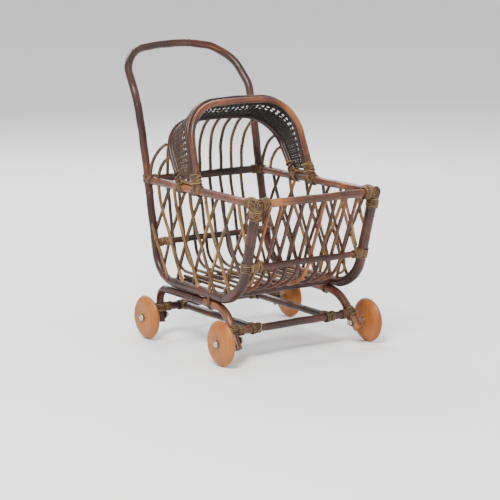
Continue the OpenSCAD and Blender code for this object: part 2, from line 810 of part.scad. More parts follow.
module stretcher(side) {
    x = side * stretcher_gap / 2;
    color(dark_cane) difference() {
        rod([x, front_rod_y, rod_z], [x, rear_rod_y, rod_z], stretcher_d);
        rod([x - cut_past, front_rod_y, rod_z], [x + cut_past, front_rod_y, rod_z], rod_d);
        rod([x - cut_past, rear_rod_y, rod_z], [x + cut_past, rear_rod_y, rod_z], rod_d);
    }
}

// ---- Wheels and their bolts, built along +X from the leg outwards ----

flat_depth = 0.5;
leg_out = arch_front_d / 2 - flat_depth;
wheel_in = leg_x + leg_out + wheel_gap;
wheel_out = wheel_in + wheel_t;
washer_t = 1.2;
washer_d = 15;
head_d = 11;
head_h = 4;
nut_d = 11;
nut_h = 5;
spacer_d = 11;
rim_curve = 1.6;
rim_steps = 12;

// Half outline of a wheel: a flat face, then a crowned rim, as [radius, distance from the middle]
function crown_radius(s) =
    wheel_face_d / 2 + (wheel_d - wheel_face_d) / 2 * (1 - pow(abs(s) / (wheel_t / 2), rim_curve));

module wheel(side, y) {
    bore_r = bolt_d / 2 + bore_clear;
    color(wheel_wood)
        translate([side * (wheel_in + wheel_t / 2), y, axle_z]) rotate([0, 90, 0])
            rotate_extrude($fn = 96)
                polygon(concat(
                    [[bore_r, -wheel_t / 2]],
                    [for (i = [-rim_steps : rim_steps])
                        let (s = i / rim_steps * wheel_t / 2) [crown_radius(s), s]],
                    [[bore_r, wheel_t / 2]]));
}

// Places its children at all four axles, with +X pointing away from the stroller
module at_axles() {
    for (side = [-1, 1], y = [front_axle_y, rear_axle_y])
        translate([0, y, axle_z]) mirror([side < 0 ? 1 : 0, 0, 0]) rotate([0, 90, 0]) children();
}

module axle_bolts() {
    head_at = wheel_out + end_play + washer_t;
    tail = leg_x - leg_out - washer_t - nut_h - 2;
    color(bolt_steel) at_axles() {
        translate([0, 0, tail]) cylinder(d = bolt_d, h = head_at - tail);
        translate([0, 0, head_at]) cylinder(d1 = head_d, d2 = head_d - 4, h = head_h);
    }
}

module axle_nuts() {
    color(bolt_steel) at_axles()
        translate([0, 0, leg_x - leg_out - washer_t - nut_h]) difference() {
            cylinder(d = nut_d, h = nut_h, $fn = 6);
            translate([0, 0, -1]) cylinder(d = bolt_d, h = nut_h + 2);
        }
}

// One washer under the bolt head and one under the nut
module axle_washers() {
    color(bolt_steel) at_axles()
        for (x = [wheel_out + end_play, leg_x - leg_out - washer_t])
            translate([0, 0, x]) difference() {
                cylinder(d = washer_d, h = washer_t);
                translate([0, 0, -1]) cylinder(d = bolt_d, h = washer_t + 2);
            }
}

module axle_spacers() {
    start = leg_x + leg_out;
    color(bolt_steel) at_axles()
        translate([0, 0, start]) difference() {
            cylinder(d = spacer_d, h = wheel_gap - end_play);
            translate([0, 0, -1]) cylinder(d = bolt_d, h = wheel_gap + 2);
        }
}

// ---- Wound bindings ----

module front_corner_bindings() {
    run = 26;
    color(binding_cane) difference() {
        for (side = [-1, 1]) {
            corner = [side * half_w, front_y, rim_h];
            wound(post_point(side, corner_cap * cos(front_lean)), post_point(side, -run), sill_d);
            wound(corner, corner - [side * run, 0, 0], rim_d);
            wound(corner, corner + [0, run, 0], rim_d);
        }
        front_posts_cut();
        rod([-half_w, front_y, rim_h], [half_w, front_y, rim_h], rim_d);
        rim_side_rod(-1);
        rim_side_rod(1);
    }
}

module rear_corner_bindings() {
    run = 17;
    color(binding_cane) difference() {
        for (side = [-1, 1]) {
            corner = [side * half_w, rear_y, rim_h];
            wound(corner, corner - [side * run, 0, 0], rim_d);
            wound(corner, corner - [0, run, 0], rim_d);
        }
        rear_posts_cut();
        rod([-half_w, rear_y, rim_h], [half_w, rear_y, rim_h], rim_d);
        rim_side_rod(-1);
        rim_side_rod(1);
    }
}

// Binding of a pair of hoop feet to the side rims
module hoop_bindings(paths, diameters, before, after, share) {
    color(binding_cane) difference() {
        for (side = [-1, 1]) {
            first = paths[0][0];
            final = paths[len(paths) - 1][0];
            wound([side * half_w, first[1] - before, rim_h],
                  [side * half_w, final[1] + after, rim_h], rim_d);
            for (i = [0 : len(paths) - 1]) {
                a = [-side * paths[i][0][0], paths[i][0][1], rim_h];
                b = [-side * paths[i][1][0], paths[i][1][1], paths[i][1][2]];
                wound(a, lerp(a, b, share), diameters[i]);
            }
        }
        for (side = [-1, 1], i = [0 : len(paths) - 1])
            hoop_leg_cut(side, paths[i], diameters[i]);
        for (side = [-1, 1]) {
            rim_side_rod(side);
            hoop_leg_cut(side, edge_rod, edge_rod_d);
            rod([side * half_w, edge_rod_y, doubler_z], [side * half_w, rear_hoop_y, doubler_z],
                doubler_d + 2 * lay_gap);
        }
    }
}

module front_hoop_bindings() {
    hoop_bindings([front_hoop, second_hoop], [hoop_d, second_hoop_d], 9, 2, 0.2);
}

module rear_hoop_bindings() {
    hoop_bindings([inner_hoop, rear_hoop], [inner_hoop_d, rear_hoop_d], 3, 5, 0.1);
}

module mid_rail_bindings() {
    run = 26;
    color(binding_cane) difference() {
        for (side = [-1, 1]) {
            wound([side * half_w, front_mid_y, mid_z],
                  [side * (half_w - run), front_mid_y, mid_z], mid_d);
            wound([side * half_w, rear_mid_y, mid_z],
                  [side * (half_w - run), rear_mid_y, mid_z], mid_d);
        }
        rod([-half_w, front_mid_y, mid_z], [half_w, front_mid_y, mid_z], mid_d);
        rod([-half_w, rear_mid_y, mid_z], [half_w, rear_mid_y, mid_z], mid_d);
        front_posts_cut();
        rear_posts_cut();
    }
}

sill_bind_at = 26; // back from where the sill's bend ends
sill_bind_y = sill_front_y + sill_bind_at;
sill_bind_run = 8;

module sill_bindings() {
    color(binding_cane) difference() {
        for (side = [-1, 1]) {
            x = side * half_w;
            wound([x, sill_bind_y, sill_z], [x, sill_bind_y + sill_bind_run, sill_z], sill_d);
            wound([x, sill_bind_y, arch_z], [x, sill_bind_y + sill_bind_run, arch_z],
                  arch_front_d);
        }
        for (side = [-1, 1]) {
            x = side * half_w;
            rod([x, sill_front_y, sill_z], [x, sill_rear_y, sill_z], sill_d);
            rod([x, sill_front_y - cut_past, arch_z], [x, sill_rear_y, arch_z], arch_front_d);
        }
    }
}

module axle_bindings() {
    run = 10;
    rod_run = 22;
    rear_run = 6;
    color(binding_cane) difference() {
        for (side = [-1, 1]) {
            wound(front_leg(side, rod_z - run), front_leg(side, rod_z + run), arch_front_d);
            wound([side * rod_half, front_rod_y, rod_z],
                  [side * (rod_half - rod_run), front_rod_y, rod_z], rod_d);
            wound(rear_leg(side, rod_z - run), rear_leg(side, rod_z + rear_run), arch_rear_d);
            wound([side * rod_half, rear_rod_y, rod_z],
                  [side * (rod_half - rod_run), rear_rod_y, rod_z], rod_d);
        }
        legs_cut();
        rod([-rod_half, front_rod_y, rod_z], [rod_half, front_rod_y, rod_z], rod_d);
        rod([-rod_half, rear_rod_y, rod_z], [rod_half, rear_rod_y, rod_z], rod_d);
        for (side = [-1, 1]) {
            translate([side * leg_x, front_axle_y, axle_z]) rotate([0, 90, 0])
                cylinder(d = washer_d + 1, h = 80, center = true);
            translate([side * leg_x, rear_axle_y, axle_z]) rotate([0, 90, 0])
                cylinder(d = washer_d + 1, h = 80, center = true);
        }
    }
}

module stretcher_bindings() {
    run = 9;
    ends = [[front_rod_y, 1], [rear_rod_y, -1]];
    color(binding_cane) difference() {
        for (side = [-1, 1], end = ends) {
            x = side * stretcher_gap / 2;
            wound([x - run, end[0], rod_z], [x + run, end[0], rod_z], rod_d);
            wound([x, end[0], rod_z], [x, end[0] + end[1] * 2 * run, rod_z], stretcher_d);
        }
        for (end = ends)
            rod([-rod_half, end[0], rod_z], [rod_half, end[0], rod_z], rod_d);
        for (side = [-1, 1])
            rod([side * stretcher_gap / 2, front_rod_y, rod_z],
                [side * stretcher_gap / 2, rear_rod_y, rod_z], stretcher_d);
    }
}

push_handle();
side_frame(-1);  // side_frame_left
side_frame(1);  // side_frame_right
rim_side(-1);  // rim_left
rim_side(1);  // rim_right
rim_front();
rim_rear();
rim_doubler(-1);  // rim_doubler_left
rim_doubler(1);  // rim_doubler_right
mid_rail_front();
mid_rail_rear();
bottom_rail(front_rail_y);  // bottom_rail_front
bottom_rail(rear_rail_y);  // bottom_rail_rear
hood_front_hoop();
hood_second_hoop();
hood_rear_hoop();
hood_inner_hoop();
hood_edge_rod();
hood_band();
hood_canes();
side_canes(-1, true);  // side_canes_left_outer
side_canes(-1, false);  // side_canes_left_inner
side_canes(1, true);  // side_canes_right_outer
side_canes(1, false);  // side_canes_right_inner
front_canes_steep();
front_canes_slanted();
rear_canes();
floor_canes();
arch_front(-1);  // arch_front_left
arch_rear(-1);  // arch_rear_left
arch_front(1);  // arch_front_right
arch_rear(1);  // arch_rear_right
axle_rod(front_rod_y);  // axle_rod_front
axle_rod(rear_rod_y);  // axle_rod_rear
stretcher(-1);  // stretcher_left
stretcher(1);  // stretcher_right
wheel(-1, front_axle_y);  // wheel_front_left
wheel(1, front_axle_y);  // wheel_front_right
wheel(-1, rear_axle_y);  // wheel_rear_left
wheel(1, rear_axle_y);  // wheel_rear_right
axle_bolts();
axle_nuts();
axle_washers();
axle_spacers();
front_corner_bindings();
rear_corner_bindings();
front_hoop_bindings();
rear_hoop_bindings();
mid_rail_bindings();
sill_bindings();
axle_bindings();
stretcher_bindings();
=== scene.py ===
import math

import bpy
import numpy as np
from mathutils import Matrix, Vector


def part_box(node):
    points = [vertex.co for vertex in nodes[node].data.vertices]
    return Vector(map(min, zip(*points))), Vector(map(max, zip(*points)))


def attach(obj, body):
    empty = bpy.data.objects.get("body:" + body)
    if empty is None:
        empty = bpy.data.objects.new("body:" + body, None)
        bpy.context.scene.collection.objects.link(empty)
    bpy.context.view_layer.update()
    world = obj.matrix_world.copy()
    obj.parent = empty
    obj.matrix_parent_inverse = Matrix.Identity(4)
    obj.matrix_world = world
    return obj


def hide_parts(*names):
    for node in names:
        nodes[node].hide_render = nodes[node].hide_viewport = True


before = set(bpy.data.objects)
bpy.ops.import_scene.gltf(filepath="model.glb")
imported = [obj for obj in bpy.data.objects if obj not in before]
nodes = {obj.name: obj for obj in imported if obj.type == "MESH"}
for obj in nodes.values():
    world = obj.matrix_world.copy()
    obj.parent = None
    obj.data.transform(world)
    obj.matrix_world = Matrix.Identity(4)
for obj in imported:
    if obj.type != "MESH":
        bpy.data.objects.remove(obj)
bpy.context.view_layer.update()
BODY = "stroller_frame"

# ---- Camera: at the photograph's angle ----

CAMERA_AT = Vector((-1.7750, -2.5991, 0.7610))
CAMERA_AIM = Vector((0.5577, 0.8085, -0.1880))
camera_data = bpy.data.cameras.new("camera")
camera_data.sensor_width = 36.0
camera_data.lens = 126.65
camera = bpy.data.objects.new("camera", camera_data)
camera.location = CAMERA_AT
camera.rotation_euler = CAMERA_AIM.to_track_quat("-Z", "Y").to_euler()
bpy.context.scene.collection.objects.link(camera)
bpy.context.scene.camera = camera

# ---- Sizes, in millimetres: places come from the frame, diameters are the poles' own ----


def corners(node):
    low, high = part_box(node)
    return np.array(low) * 1000, np.array(high) * 1000


def middle(node):
    low, high = corners(node)
    return (low + high) / 2


WORDS = ((-1, "left"), (1, "right"))
HALF_W = abs(middle("rim_left")[0])
FRONT_Y = middle("rim_front")[1]
REAR_Y = middle("rim_rear")[1]
RIM_H = middle("rim_front")[2]
SILL_Z = middle("bottom_rail_front")[2]
MID_Z = middle("mid_rail_front")[2]
FRONT_MID_Y = middle("mid_rail_front")[1]
REAR_MID_Y = middle("mid_rail_rear")[1]
FRONT_RAIL_Y = middle("bottom_rail_front")[1]
REAR_RAIL_Y = middle("bottom_rail_rear")[1]
FRONT_AXLE = middle("wheel_front_left")
REAR_AXLE = middle("wheel_rear_left")
FRONT_ROD = middle("axle_rod_front")
REAR_ROD = middle("axle_rod_rear")
STRETCHER_X = abs(middle("stretcher_left")[0])

RIM_D, SILL_D, HANDLE_D, MID_D, BOTTOM_D = 14.5, 18.0, 14.8, 11.5, 14.0
HOOP_D, SECOND_D, REAR_HOOP_D, INNER_D, EDGE_D, DOUBLER_D = 10.5, 9.0, 8.5, 7.0, 5.0, 7.0
ARCH_FRONT_D, ARCH_REAR_D, ROD_D, STRETCHER_D = 15.6, 14.2, 14.0, 13.0
FRONT_LEAN, REAR_LEAN = math.radians(15.6), math.radians(11.5)
DROP = RIM_H - SILL_Z
SILL_BEND, REAR_BEND = 76.0, 58.0
FRONT_CORNER_Y = FRONT_Y + DROP * math.tan(FRONT_LEAN)
REAR_CORNER_Y = REAR_Y - DROP * math.tan(REAR_LEAN)
SILL_FRONT_Y = FRONT_CORNER_Y + SILL_BEND * math.tan((math.pi / 2 - FRONT_LEAN) / 2)
SILL_REAR_Y = REAR_CORNER_Y - REAR_BEND * math.tan((math.pi / 2 - REAR_LEAN) / 2) - 2

# ---- Centre lines ----


def vec(*p):
    return np.array(p, float)


def unit(v):
    return v / np.linalg.norm(v)


def lerp(a, b, t):
    return a + (b - a) * t


def bend_points(a, b, c, r, steps):
    u, v = unit(b - a), unit(c - b)
    turn = math.acos(max(-1.0, min(1.0, float(u @ v))))
    if turn < 1e-4:
        return [b]
    back = r * math.tan(turn / 2)
    centre = b + unit(v - u) * r / math.cos(turn / 2)
    x = (b - u * back - centre) / r
    return [
        centre + r * (math.cos(turn * i / steps) * x + math.sin(turn * i / steps) * u)
        for i in range(steps + 1)
    ]


def path_points(points, radii, steps=14):
    out = [points[0]]
    for i in range(1, len(points) - 1):
        out += bend_points(points[i - 1], points[i], points[i + 1], radii[i - 1], steps)
    return out + [points[-1]]


def both_sides(half, mid):
    return half + [mid] + [p * vec(-1, 1, 1) for p in reversed(half)]


def smooth(points, rounds=3):
    """The line with its corners cut, its ends kept."""
    for _ in range(rounds):
        out = [points[0]]
        for a, b in zip(points[:-1], points[1:]):
            out += [lerp(a, b, 0.25), lerp(a, b, 0.75)]
        points = out[:1] + out[2:-1] + [points[-1]]
    return points


def lengths(points):
    points = np.array(points)
    return np.concatenate([[0], np.cumsum(np.linalg.norm(np.diff(points, axis=0), axis=1))])


def at_lengths(points, s):
    points, along = np.array(points), lengths(points)
    return np.stack([np.interp(s, along, points[:, k]) for k in range(3)], 1)


# ---- Meshes ----

# How far apart the grain of two pieces starts, in millimetres, so that no two look the same
POLE_SHIFT, STRAND_SHIFT = 977.0, 331.0


class Shape:
    """Vertices and faces of one piece, with the coordinates that its grain follows."""

    def __init__(self):
        # knuckle: growth rings on poles, and painted shade at the edges of flat strands
        self.verts, self.faces, self.grain, self.tone, self.knuckle = [], [], [], [], []
        self.count = 0

    def grid(self, places, grain, tone, knuckle, caps=True):
        """Rings of points, each ring closed on itself, joined into a tube with closed ends."""
        rows, cols = places.shape[:2]
        start = self.count
        self.verts.append(places.reshape(-1, 3))
        self.grain.append(grain.reshape(-1, 3))
        self.tone.append(np.broadcast_to(tone, (rows, cols)).ravel())
        self.knuckle.append(np.broadcast_to(knuckle, (rows, cols)).ravel())
        self.count += rows * cols
        index = start + np.arange(rows * cols).reshape(rows, cols)
        after = np.roll(index, -1, axis=1)
        quads = np.stack([index[:-1], after[:-1], after[1:], index[1:]], -1)
        self.faces += quads.reshape(-1, 4).tolist()
        if caps:
            for row, flip in ((0, True), (rows - 1, False)):
                self.verts.append(places[row].mean(0)[None])
                self.grain.append(grain[row].mean(0)[None])
                self.tone.append(np.broadcast_to(tone, (rows, cols))[row, :1])
                self.knuckle.append(np.full(1, 0.6))
                hub = self.count
                self.count += 1
                ring = index[row]
                pairs = zip(ring, np.roll(ring, -1))
                self.faces += [[hub, int(b), int(a)] if flip else [hub, int(a), int(b)] for a, b in pairs]


def frames(points):
    """Two directions across the line at each point, which turn as little as they can."""
    ahead = np.gradient(points, axis=0)
    ahead /= np.linalg.norm(ahead, axis=1)[:, None]
    side = vec(0, 0, 1) if abs(ahead[0][2]) < 0.9 else vec(1, 0, 0)
    xs = []
    x = unit(np.cross(side, ahead[0]))
    for t in ahead:
        x = unit(x - t * (x @ t))
        xs.append(x)
    xs = np.array(xs)
    return xs, np.cross(ahead, xs)


def waves(s, rng, wave, parts=3):
    """A smooth random line through zero, with features about wave long."""
    out = np.zeros_like(s)
    for k in range(parts):
        out += np.sin(s / (wave / (k + 1)) * math.tau + rng.uniform(0, math.tau)) / (k + 1)
    return out / 1.8


def pole(shape, points, d, seed, wander=0.5, nodes_every=(95, 150), swell=0.55, sides=18, tone=0.5,
         tone_spread=0.25, step=4.0):
    """A rattan pole: a round cane with growth rings, a little out of true."""
    rng = np.random.default_rng(seed)
    total = lengths(points)[-1]
    places = []
    at = rng.uniform(0.2, 0.9) * nodes_every[0]
    while at < total - 5:
        places.append(at)
        at += rng.uniform(*nodes_every)
    near = [-4.5, -2.6, -1.5, -0.8, -0.2, 0.4, 0.9, 1.4, 2.0, 3.0, 4.5]  # points close to a growth ring
    s = set(np.linspace(0, total, max(3, int(total / step))))
    s |= {p + q for p in places for q in near if 0 < p + q < total}
    s = np.array(sorted(s))
    s = s[np.concatenate([[True], np.diff(s) > 0.15])]
    line = at_lengths(points, s)
    x, y = frames(line)
    fade = np.sin(np.clip(s / total, 0, 1) * math.pi) ** 0.6
    line = line + (x * waves(s, rng, 110)[:, None] + y * waves(s, rng, 130)[:, None]) * (wander * fade)[:, None]
    x, y = frames(line)
    r = d / 2 * (1 + 0.025 * waves(s, rng, 60))
    ring = np.zeros_like(s)
    for p in places:
        r = r + swell * np.exp(-(((s - p) / 1.3) ** 2)) - 0.35 * swell * np.exp(-(((s - p - 1.7) / 0.7) ** 2))
        ring = ring + np.exp(-(((s - p - 1.4) / 0.8) ** 2))
    angle = np.arange(sides) / sides * math.tau
    out_of_round = 1 + 0.02 * np.cos(2 * angle + rng.uniform(0, 6))
    rr = r[:, None] * out_of_round[None]
    spot = line[:, None] + rr[..., None] * (
        np.cos(angle)[None, :, None] * x[:, None] + np.sin(angle)[None, :, None] * y[:, None])
    grain = np.stack([rr * np.cos(angle), rr * np.sin(angle),
                      np.broadcast_to(s[:, None], rr.shape) + POLE_SHIFT * rng.uniform(1, 9)], -1)
    shade = tone + tone_spread * waves(s, rng, 190)
    shape.grid(spot, grain, shade[:, None], np.clip(ring, 0, 1)[:, None])


def cane(shape, points, d, seed, tone, sides=12, wander=0.7):
    pole(shape, points, d, seed, wander=wander, nodes_every=(70, 140), swell=0.32, sides=sides, tone=tone,
         tone_spread=0.14, step=4.5)


def circle(r):
    return lambda a: (r * np.cos(a), r * np.sin(a))


def pair_loop(r, gap):
    """A loop around two equal circles whose middles are gap apart along the first axis."""

    def loop(a):
        c, s = np.cos(a), np.sin(a)
        return r * c + gap / 2 * np.tanh(c * 5), r * s

    return loop


# A flat strand's outline: (share of its width, share of its thickness), and how near each point is
# to its edge, which sets the painted shade at the strand's edges and underside, where the gaps between strands
# lie in shade
LENS = np.array([(-0.5, 0.0), (-0.42, 0.55), (-0.24, 0.92), (0.0, 1.0), (0.24, 0.92), (0.42, 0.55), (0.5, 0.0),
                 (0.0, -0.35)])
LENS_PAINTED_SHADE = np.array([1.0, 0.9, 0.25, 0.0, 0.25, 0.9, 1.0, 1.0])
RING_STEPS = 37


def sideways(along, first):
    """Two directions across a winding's axis, starting from first where it is given."""
    x = first if first is not None else (vec(0, 0, 1) if abs(along[2]) < 0.9 else vec(0, 1, 0))
    x = unit(x - along * (x @ along))
    return x, np.cross(along, x)


def laid(origin, axes, base, lay, across, up, lift, run, rng):
    """Places and grain of a flat strand; its middle lies at lay along the axis and at base across it."""
    w, x, y = axes
    outward = base / np.linalg.norm(base, axis=1)[:, None]
    radial = base[:, None] + outward[:, None] * (up[None] * lift[:, None])[..., None]
    places = origin + w * (lay[:, None] + across[None])[..., None] + radial[..., :1] * x + radial[..., 1:] * y
    size = radial.shape[:2]
    grain = np.stack([np.broadcast_to(across[None], size), np.broadcast_to(up[None], size),
                      np.broadcast_to(run[:, None], size) + STRAND_SHIFT * rng.uniform(1, 9)], -1)
    return places, grain


def winding(shape, a, b, r, seed, strand=3.3, thick=1.6, tone=0.5, loop=None, first=None, closed=(0, 0),
            around=22):
    """Flat cane wound tightly around the stretch from a to b, r being the radius under it."""
    rng = np.random.default_rng(seed)
    total = np.linalg.norm(b - a)
    w = unit(b - a)
    x, y = sideways(w, first)
    turns = max(2, round(total / strand))
    pitch = total / turns
    phi = np.linspace(0, turns * math.tau, turns * around + 1)
    start = rng.uniform(0, math.tau)
    lay = pitch * phi / math.tau
    lay = np.clip(lay + 0.22 * waves(phi, rng, 14), 0.3, total - 0.3)
    shrink = np.ones_like(lay)
    for end, size in zip((lay, total - lay), closed):
        if size:
            shrink = np.minimum(shrink, np.sqrt(np.clip(1 - (1 - np.clip(end / size, 0, 1)) ** 2, 0.02, 1)))
    p, q = (loop or circle(r))(phi + start)
    base = np.stack([p, q], 1) * shrink[:, None]
    lift = 1 + 0.18 * waves(phi, rng, 9)
    places, grain = laid(a, (w, x, y), base, lay, LENS[:, 0] * pitch * 1.02, LENS[:, 1] * thick, lift, phi * r,
                         rng)
    shade = tone + 0.22 * waves(phi, rng, 40)
    # the strand's edges get painted shade, for the gaps between turns
    shape.grid(places, grain, shade[:, None], LENS_PAINTED_SHADE[None] * np.ones((len(phi), 1)))


def strand_ring(shape, centre, axis, r, slope, turn, seed, width=3.0, thick=1.5, tone=0.55, loop=None,
                first=None):
    """One strand around a pole, tilted so that it crosses the winding under it."""
    rng = np.random.default_rng(seed)
    w = unit(axis)
    x, y = sideways(w, first)
    phi = np.linspace(0, math.tau, RING_STEPS)
    p, q = (loop or circle(r))(phi)
    base = np.stack([p, q], 1)
    lay = slope * r * np.cos(phi - turn)
    places, grain = laid(centre, (w, x, y), base, lay, LENS[:, 0] * width, LENS[:, 1] * thick,
                         np.ones(RING_STEPS), phi * r, rng)
    shade = np.full((RING_STEPS, 1), tone + rng.uniform(-0.25, 0.25))
    # the strand's edges get painted shade, for the gaps beside it
    shape.grid(places, grain, shade, LENS_PAINTED_SHADE[None] * np.ones((RING_STEPS, 1)))


def lathe(shape, profile, centre, axis_x, sides, seed, tone=0.5):
    """A turned piece around the X axis; profile is [(distance along X, radius)]."""
    rng = np.random.default_rng(seed)
    profile = np.array(profile, float)
    angle = np.arange(sides) / sides * math.tau
    x = np.broadcast_to(profile[:, :1], (len(profile), sides)) * axis_x
    y = profile[:, 1:] * np.cos(angle)[None]
    z = profile[:, 1:] * np.sin(angle)[None]
    local = np.stack([x, y, z], -1)
    places = local + centre
    if axis_x < 0:
        places, local = places[::-1], local[::-1]
    shift = rng.uniform(-400, 400, 3)
    shape.grid(places, local + shift, tone, 0.0, caps=False)


def make(name, shape, material, replaced, body=BODY, sharp=40):
    mesh = bpy.data.meshes.new(name)
    mesh.from_pydata((np.concatenate(shape.verts) * 0.001).tolist(), [], shape.faces)
    mesh.update()
    for key, values, kind, field in (("grain", np.concatenate(shape.grain) * 0.001, "FLOAT_VECTOR", "vector"),
                                     ("tone", np.concatenate(shape.tone), "FLOAT", "value"),
                                     ("knuckle", np.concatenate(shape.knuckle), "FLOAT", "value")):
        made = mesh.attributes.new(key, kind, "POINT")
        made.data.foreach_set(field, np.asarray(values, np.float32).ravel())
    mesh.shade_smooth()
    mesh.set_sharp_from_angle(angle=math.radians(sharp))
    mesh.materials.append(material)
    piece = bpy.data.objects.new(name, mesh)
    bpy.context.scene.collection.objects.link(piece)
    if replaced:
        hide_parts(*replaced)
    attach(piece, body)
    return piece


# ---- Materials ----


class Graph:
    """Short calls for a material's nodes."""

    def __init__(self, name):
        self.material = bpy.data.materials.new(name)
        self.material.use_nodes = True
        self.tree = self.material.node_tree
        self.shader = self.tree.nodes["Principled BSDF"]

    def new(self, kind, **values):
        node = self.tree.nodes.new(kind)
        for key, value in values.items():
            setattr(node, key, value)
        return node

    def link(self, a, b):
        self.tree.links.new(a, b)

    def attribute(self, name):
        node = self.new("ShaderNodeAttribute", attribute_name=name)
        return node.outputs["Vector"] if name == "grain" else node.outputs["Fac"]

    def noise(self, vector, scale, detail=5, rough=0.6, scales=(1, 1, 1), distortion=0.0):
        mapping = self.new("ShaderNodeMapping")
        mapping.inputs["Scale"].default_value = scales
        self.link(vector, mapping.inputs["Vector"])
        node = self.new("ShaderNodeTexNoise")
        node.inputs["Scale"].default_value = scale
        node.inputs["Detail"].default_value = detail
        node.inputs["Roughness"].default_value = rough
        node.inputs["Distortion"].default_value = distortion
        self.link(mapping.outputs["Vector"], node.inputs["Vector"])
        return node.outputs["Fac"]

    def math(self, kind, a, b=None, clamp=False):
        node = self.new("ShaderNodeMath", operation=kind, use_clamp=clamp)
        for socket, value in zip(node.inputs, (a, b)):
            if value is None:
                continue
            if isinstance(value, (int, float)):
                socket.default_value = value
            else:
                self.link(value, socket)
        return node.outputs[0]

    def spread(self, value, low, high, to_low=0.0, to_high=1.0):
        node = self.new("ShaderNodeMapRange", clamp=True)
        for key, number in (("From Min", low), ("From Max", high), ("To Min", to_low), ("To Max", to_high)):
            node.inputs[key].default_value = number
        self.link(value, node.inputs["Value"])
        return node.outputs["Result"]

    def ramp(self, value, stops):
        node = self.new("ShaderNodeValToRGB")
        while len(node.color_ramp.elements) < len(stops):
            node.color_ramp.elements.new(0.5)
        for element, (place, colour) in zip(node.color_ramp.elements, stops):
            element.position = place
            element.color = (*colour, 1)
        self.link(value, node.inputs["Fac"])
        return node.outputs["Color"]

    def mix(self, factor, a, b, kind="MIX"):
        node = self.new("ShaderNodeMix", data_type="RGBA", blend_type=kind)
        for socket, value in ((node.inputs[0], factor), (node.inputs[6], a), (node.inputs[7], b)):
            if isinstance(value, (int, float)):
                socket.default_value = value
            elif isinstance(value, tuple):
                socket.default_value = (*value, 1)
            else:
                self.link(value, socket)
        return node.outputs[2]

    def bump(self, heights):
        """Bumps on top of each other, from [(height, depth in metres)]."""
        normal = None
        for height, depth in heights:
            node = self.new("ShaderNodeBump")
            node.inputs["Strength"].default_value = 1.0
            node.inputs["Distance"].default_value = depth
            self.link(height, node.inputs["Height"])
            if normal is not None:
                self.link(normal, node.inputs["Normal"])
            normal = node.outputs["Normal"]
        self.link(normal, self.shader.inputs["Normal"])


def cane_material(name, stops, dark, gloss=0.3, coat=0.4, patch_scale=18.0, flecks=0.35, bump=1.0, rings=0.72):
    """Varnished cane: grain along its length, patches of colour, flecks, dark growth rings, and painted shade
    along the edges of flat strands.
    """
    g = Graph(name)
    grain, tone, knuckle = g.attribute("grain"), g.attribute("tone"), g.attribute("knuckle")
    fine = g.noise(grain, 1500, 4, 0.65, (1, 1, 0.022))
    broad = g.noise(grain, 320, 3, 0.55, (1, 1, 0.05))
    patch = g.noise(grain, patch_scale, 4, 0.6, (2.4, 2.4, 1))
    fleck = g.noise(grain, 620, 3, 0.7, (1, 1, 0.22))
    level = g.math("ADD", g.math("MULTIPLY", g.spread(patch, 0.3, 0.7), 0.42), g.math("MULTIPLY", tone, 0.62))
    level = g.math("ADD", level, g.spread(broad, 0.3, 0.7, -0.16, 0.16))
    level = g.math("ADD", level, g.spread(fine, 0.3, 0.7, -0.13, 0.13), clamp=True)
    colour = g.ramp(level, stops)
    colour = g.mix(g.math("MULTIPLY", g.spread(fleck, 0.62, 0.72), flecks), colour, dark)
    # darkens growth rings on poles, and paints shade along strand edges where the gaps between strands are; rings
    # sets how dark
    colour = g.mix(g.math("MULTIPLY", knuckle, rings), colour, dark)
    g.link(colour, g.shader.inputs["Base Color"])
    rough = g.spread(g.math("ADD", broad, fleck), 0.7, 1.35, gloss - 0.07, gloss + 0.2)
    g.link(rough, g.shader.inputs["Roughness"])
    g.shader.inputs["Coat Weight"].default_value = coat
    g.shader.inputs["Coat Roughness"].default_value = 0.16
    g.shader.inputs["Specular IOR Level"].default_value = 0.35
    g.bump([(fine, 0.00022 * bump), (broad, 0.0004 * bump), (fleck, 0.00016 * bump)])
    return g.material


def wood_material(name):
    """Turned wood: long grain across the wheel, faint rings, pores and a clear lacquer."""
    g = Graph(name)
    grain, tone = g.attribute("grain"), g.attribute("tone")
    lines = g.noise(grain, 210, 5, 0.6, (1, 1, 0.09), 0.4)
    fine = g.noise(grain, 1500, 3, 0.6, (1, 1, 0.05))
    broad = g.noise(grain, 34, 3, 0.5, (1, 1, 0.35), 0.8)
    pore = g.noise(grain, 2300, 2, 0.5, (1, 1, 0.09))
    level = g.math("ADD", g.spread(lines, 0.3, 0.7, 0.0, 0.45), g.spread(broad, 0.3, 0.7, 0.0, 0.4))
    level = g.math("ADD", level, g.spread(fine, 0.3, 0.7, -0.1, 0.1))
    level = g.math("ADD", level, g.math("MULTIPLY", tone, 0.25), clamp=True)
    colour = g.ramp(level, [(0.0, (0.160, 0.038, 0.003)), (0.35, (0.250, 0.068, 0.005)),
                            (0.7, (0.325, 0.098, 0.008)), (1.0, (0.40, 0.130, 0.014))])
    colour = g.mix(g.math("MULTIPLY", g.spread(pore, 0.6, 0.75), 0.35), colour, (0.20, 0.060, 0.016))
    g.link(colour, g.shader.inputs["Base Color"])
    g.link(g.spread(lines, 0.3, 0.7, 0.42, 0.58), g.shader.inputs["Roughness"])
    g.shader.inputs["Coat Weight"].default_value = 0.06
    g.shader.inputs["Coat Roughness"].default_value = 0.22
    g.bump([(lines, 0.00012), (pore, 0.00008)])
    return g.material


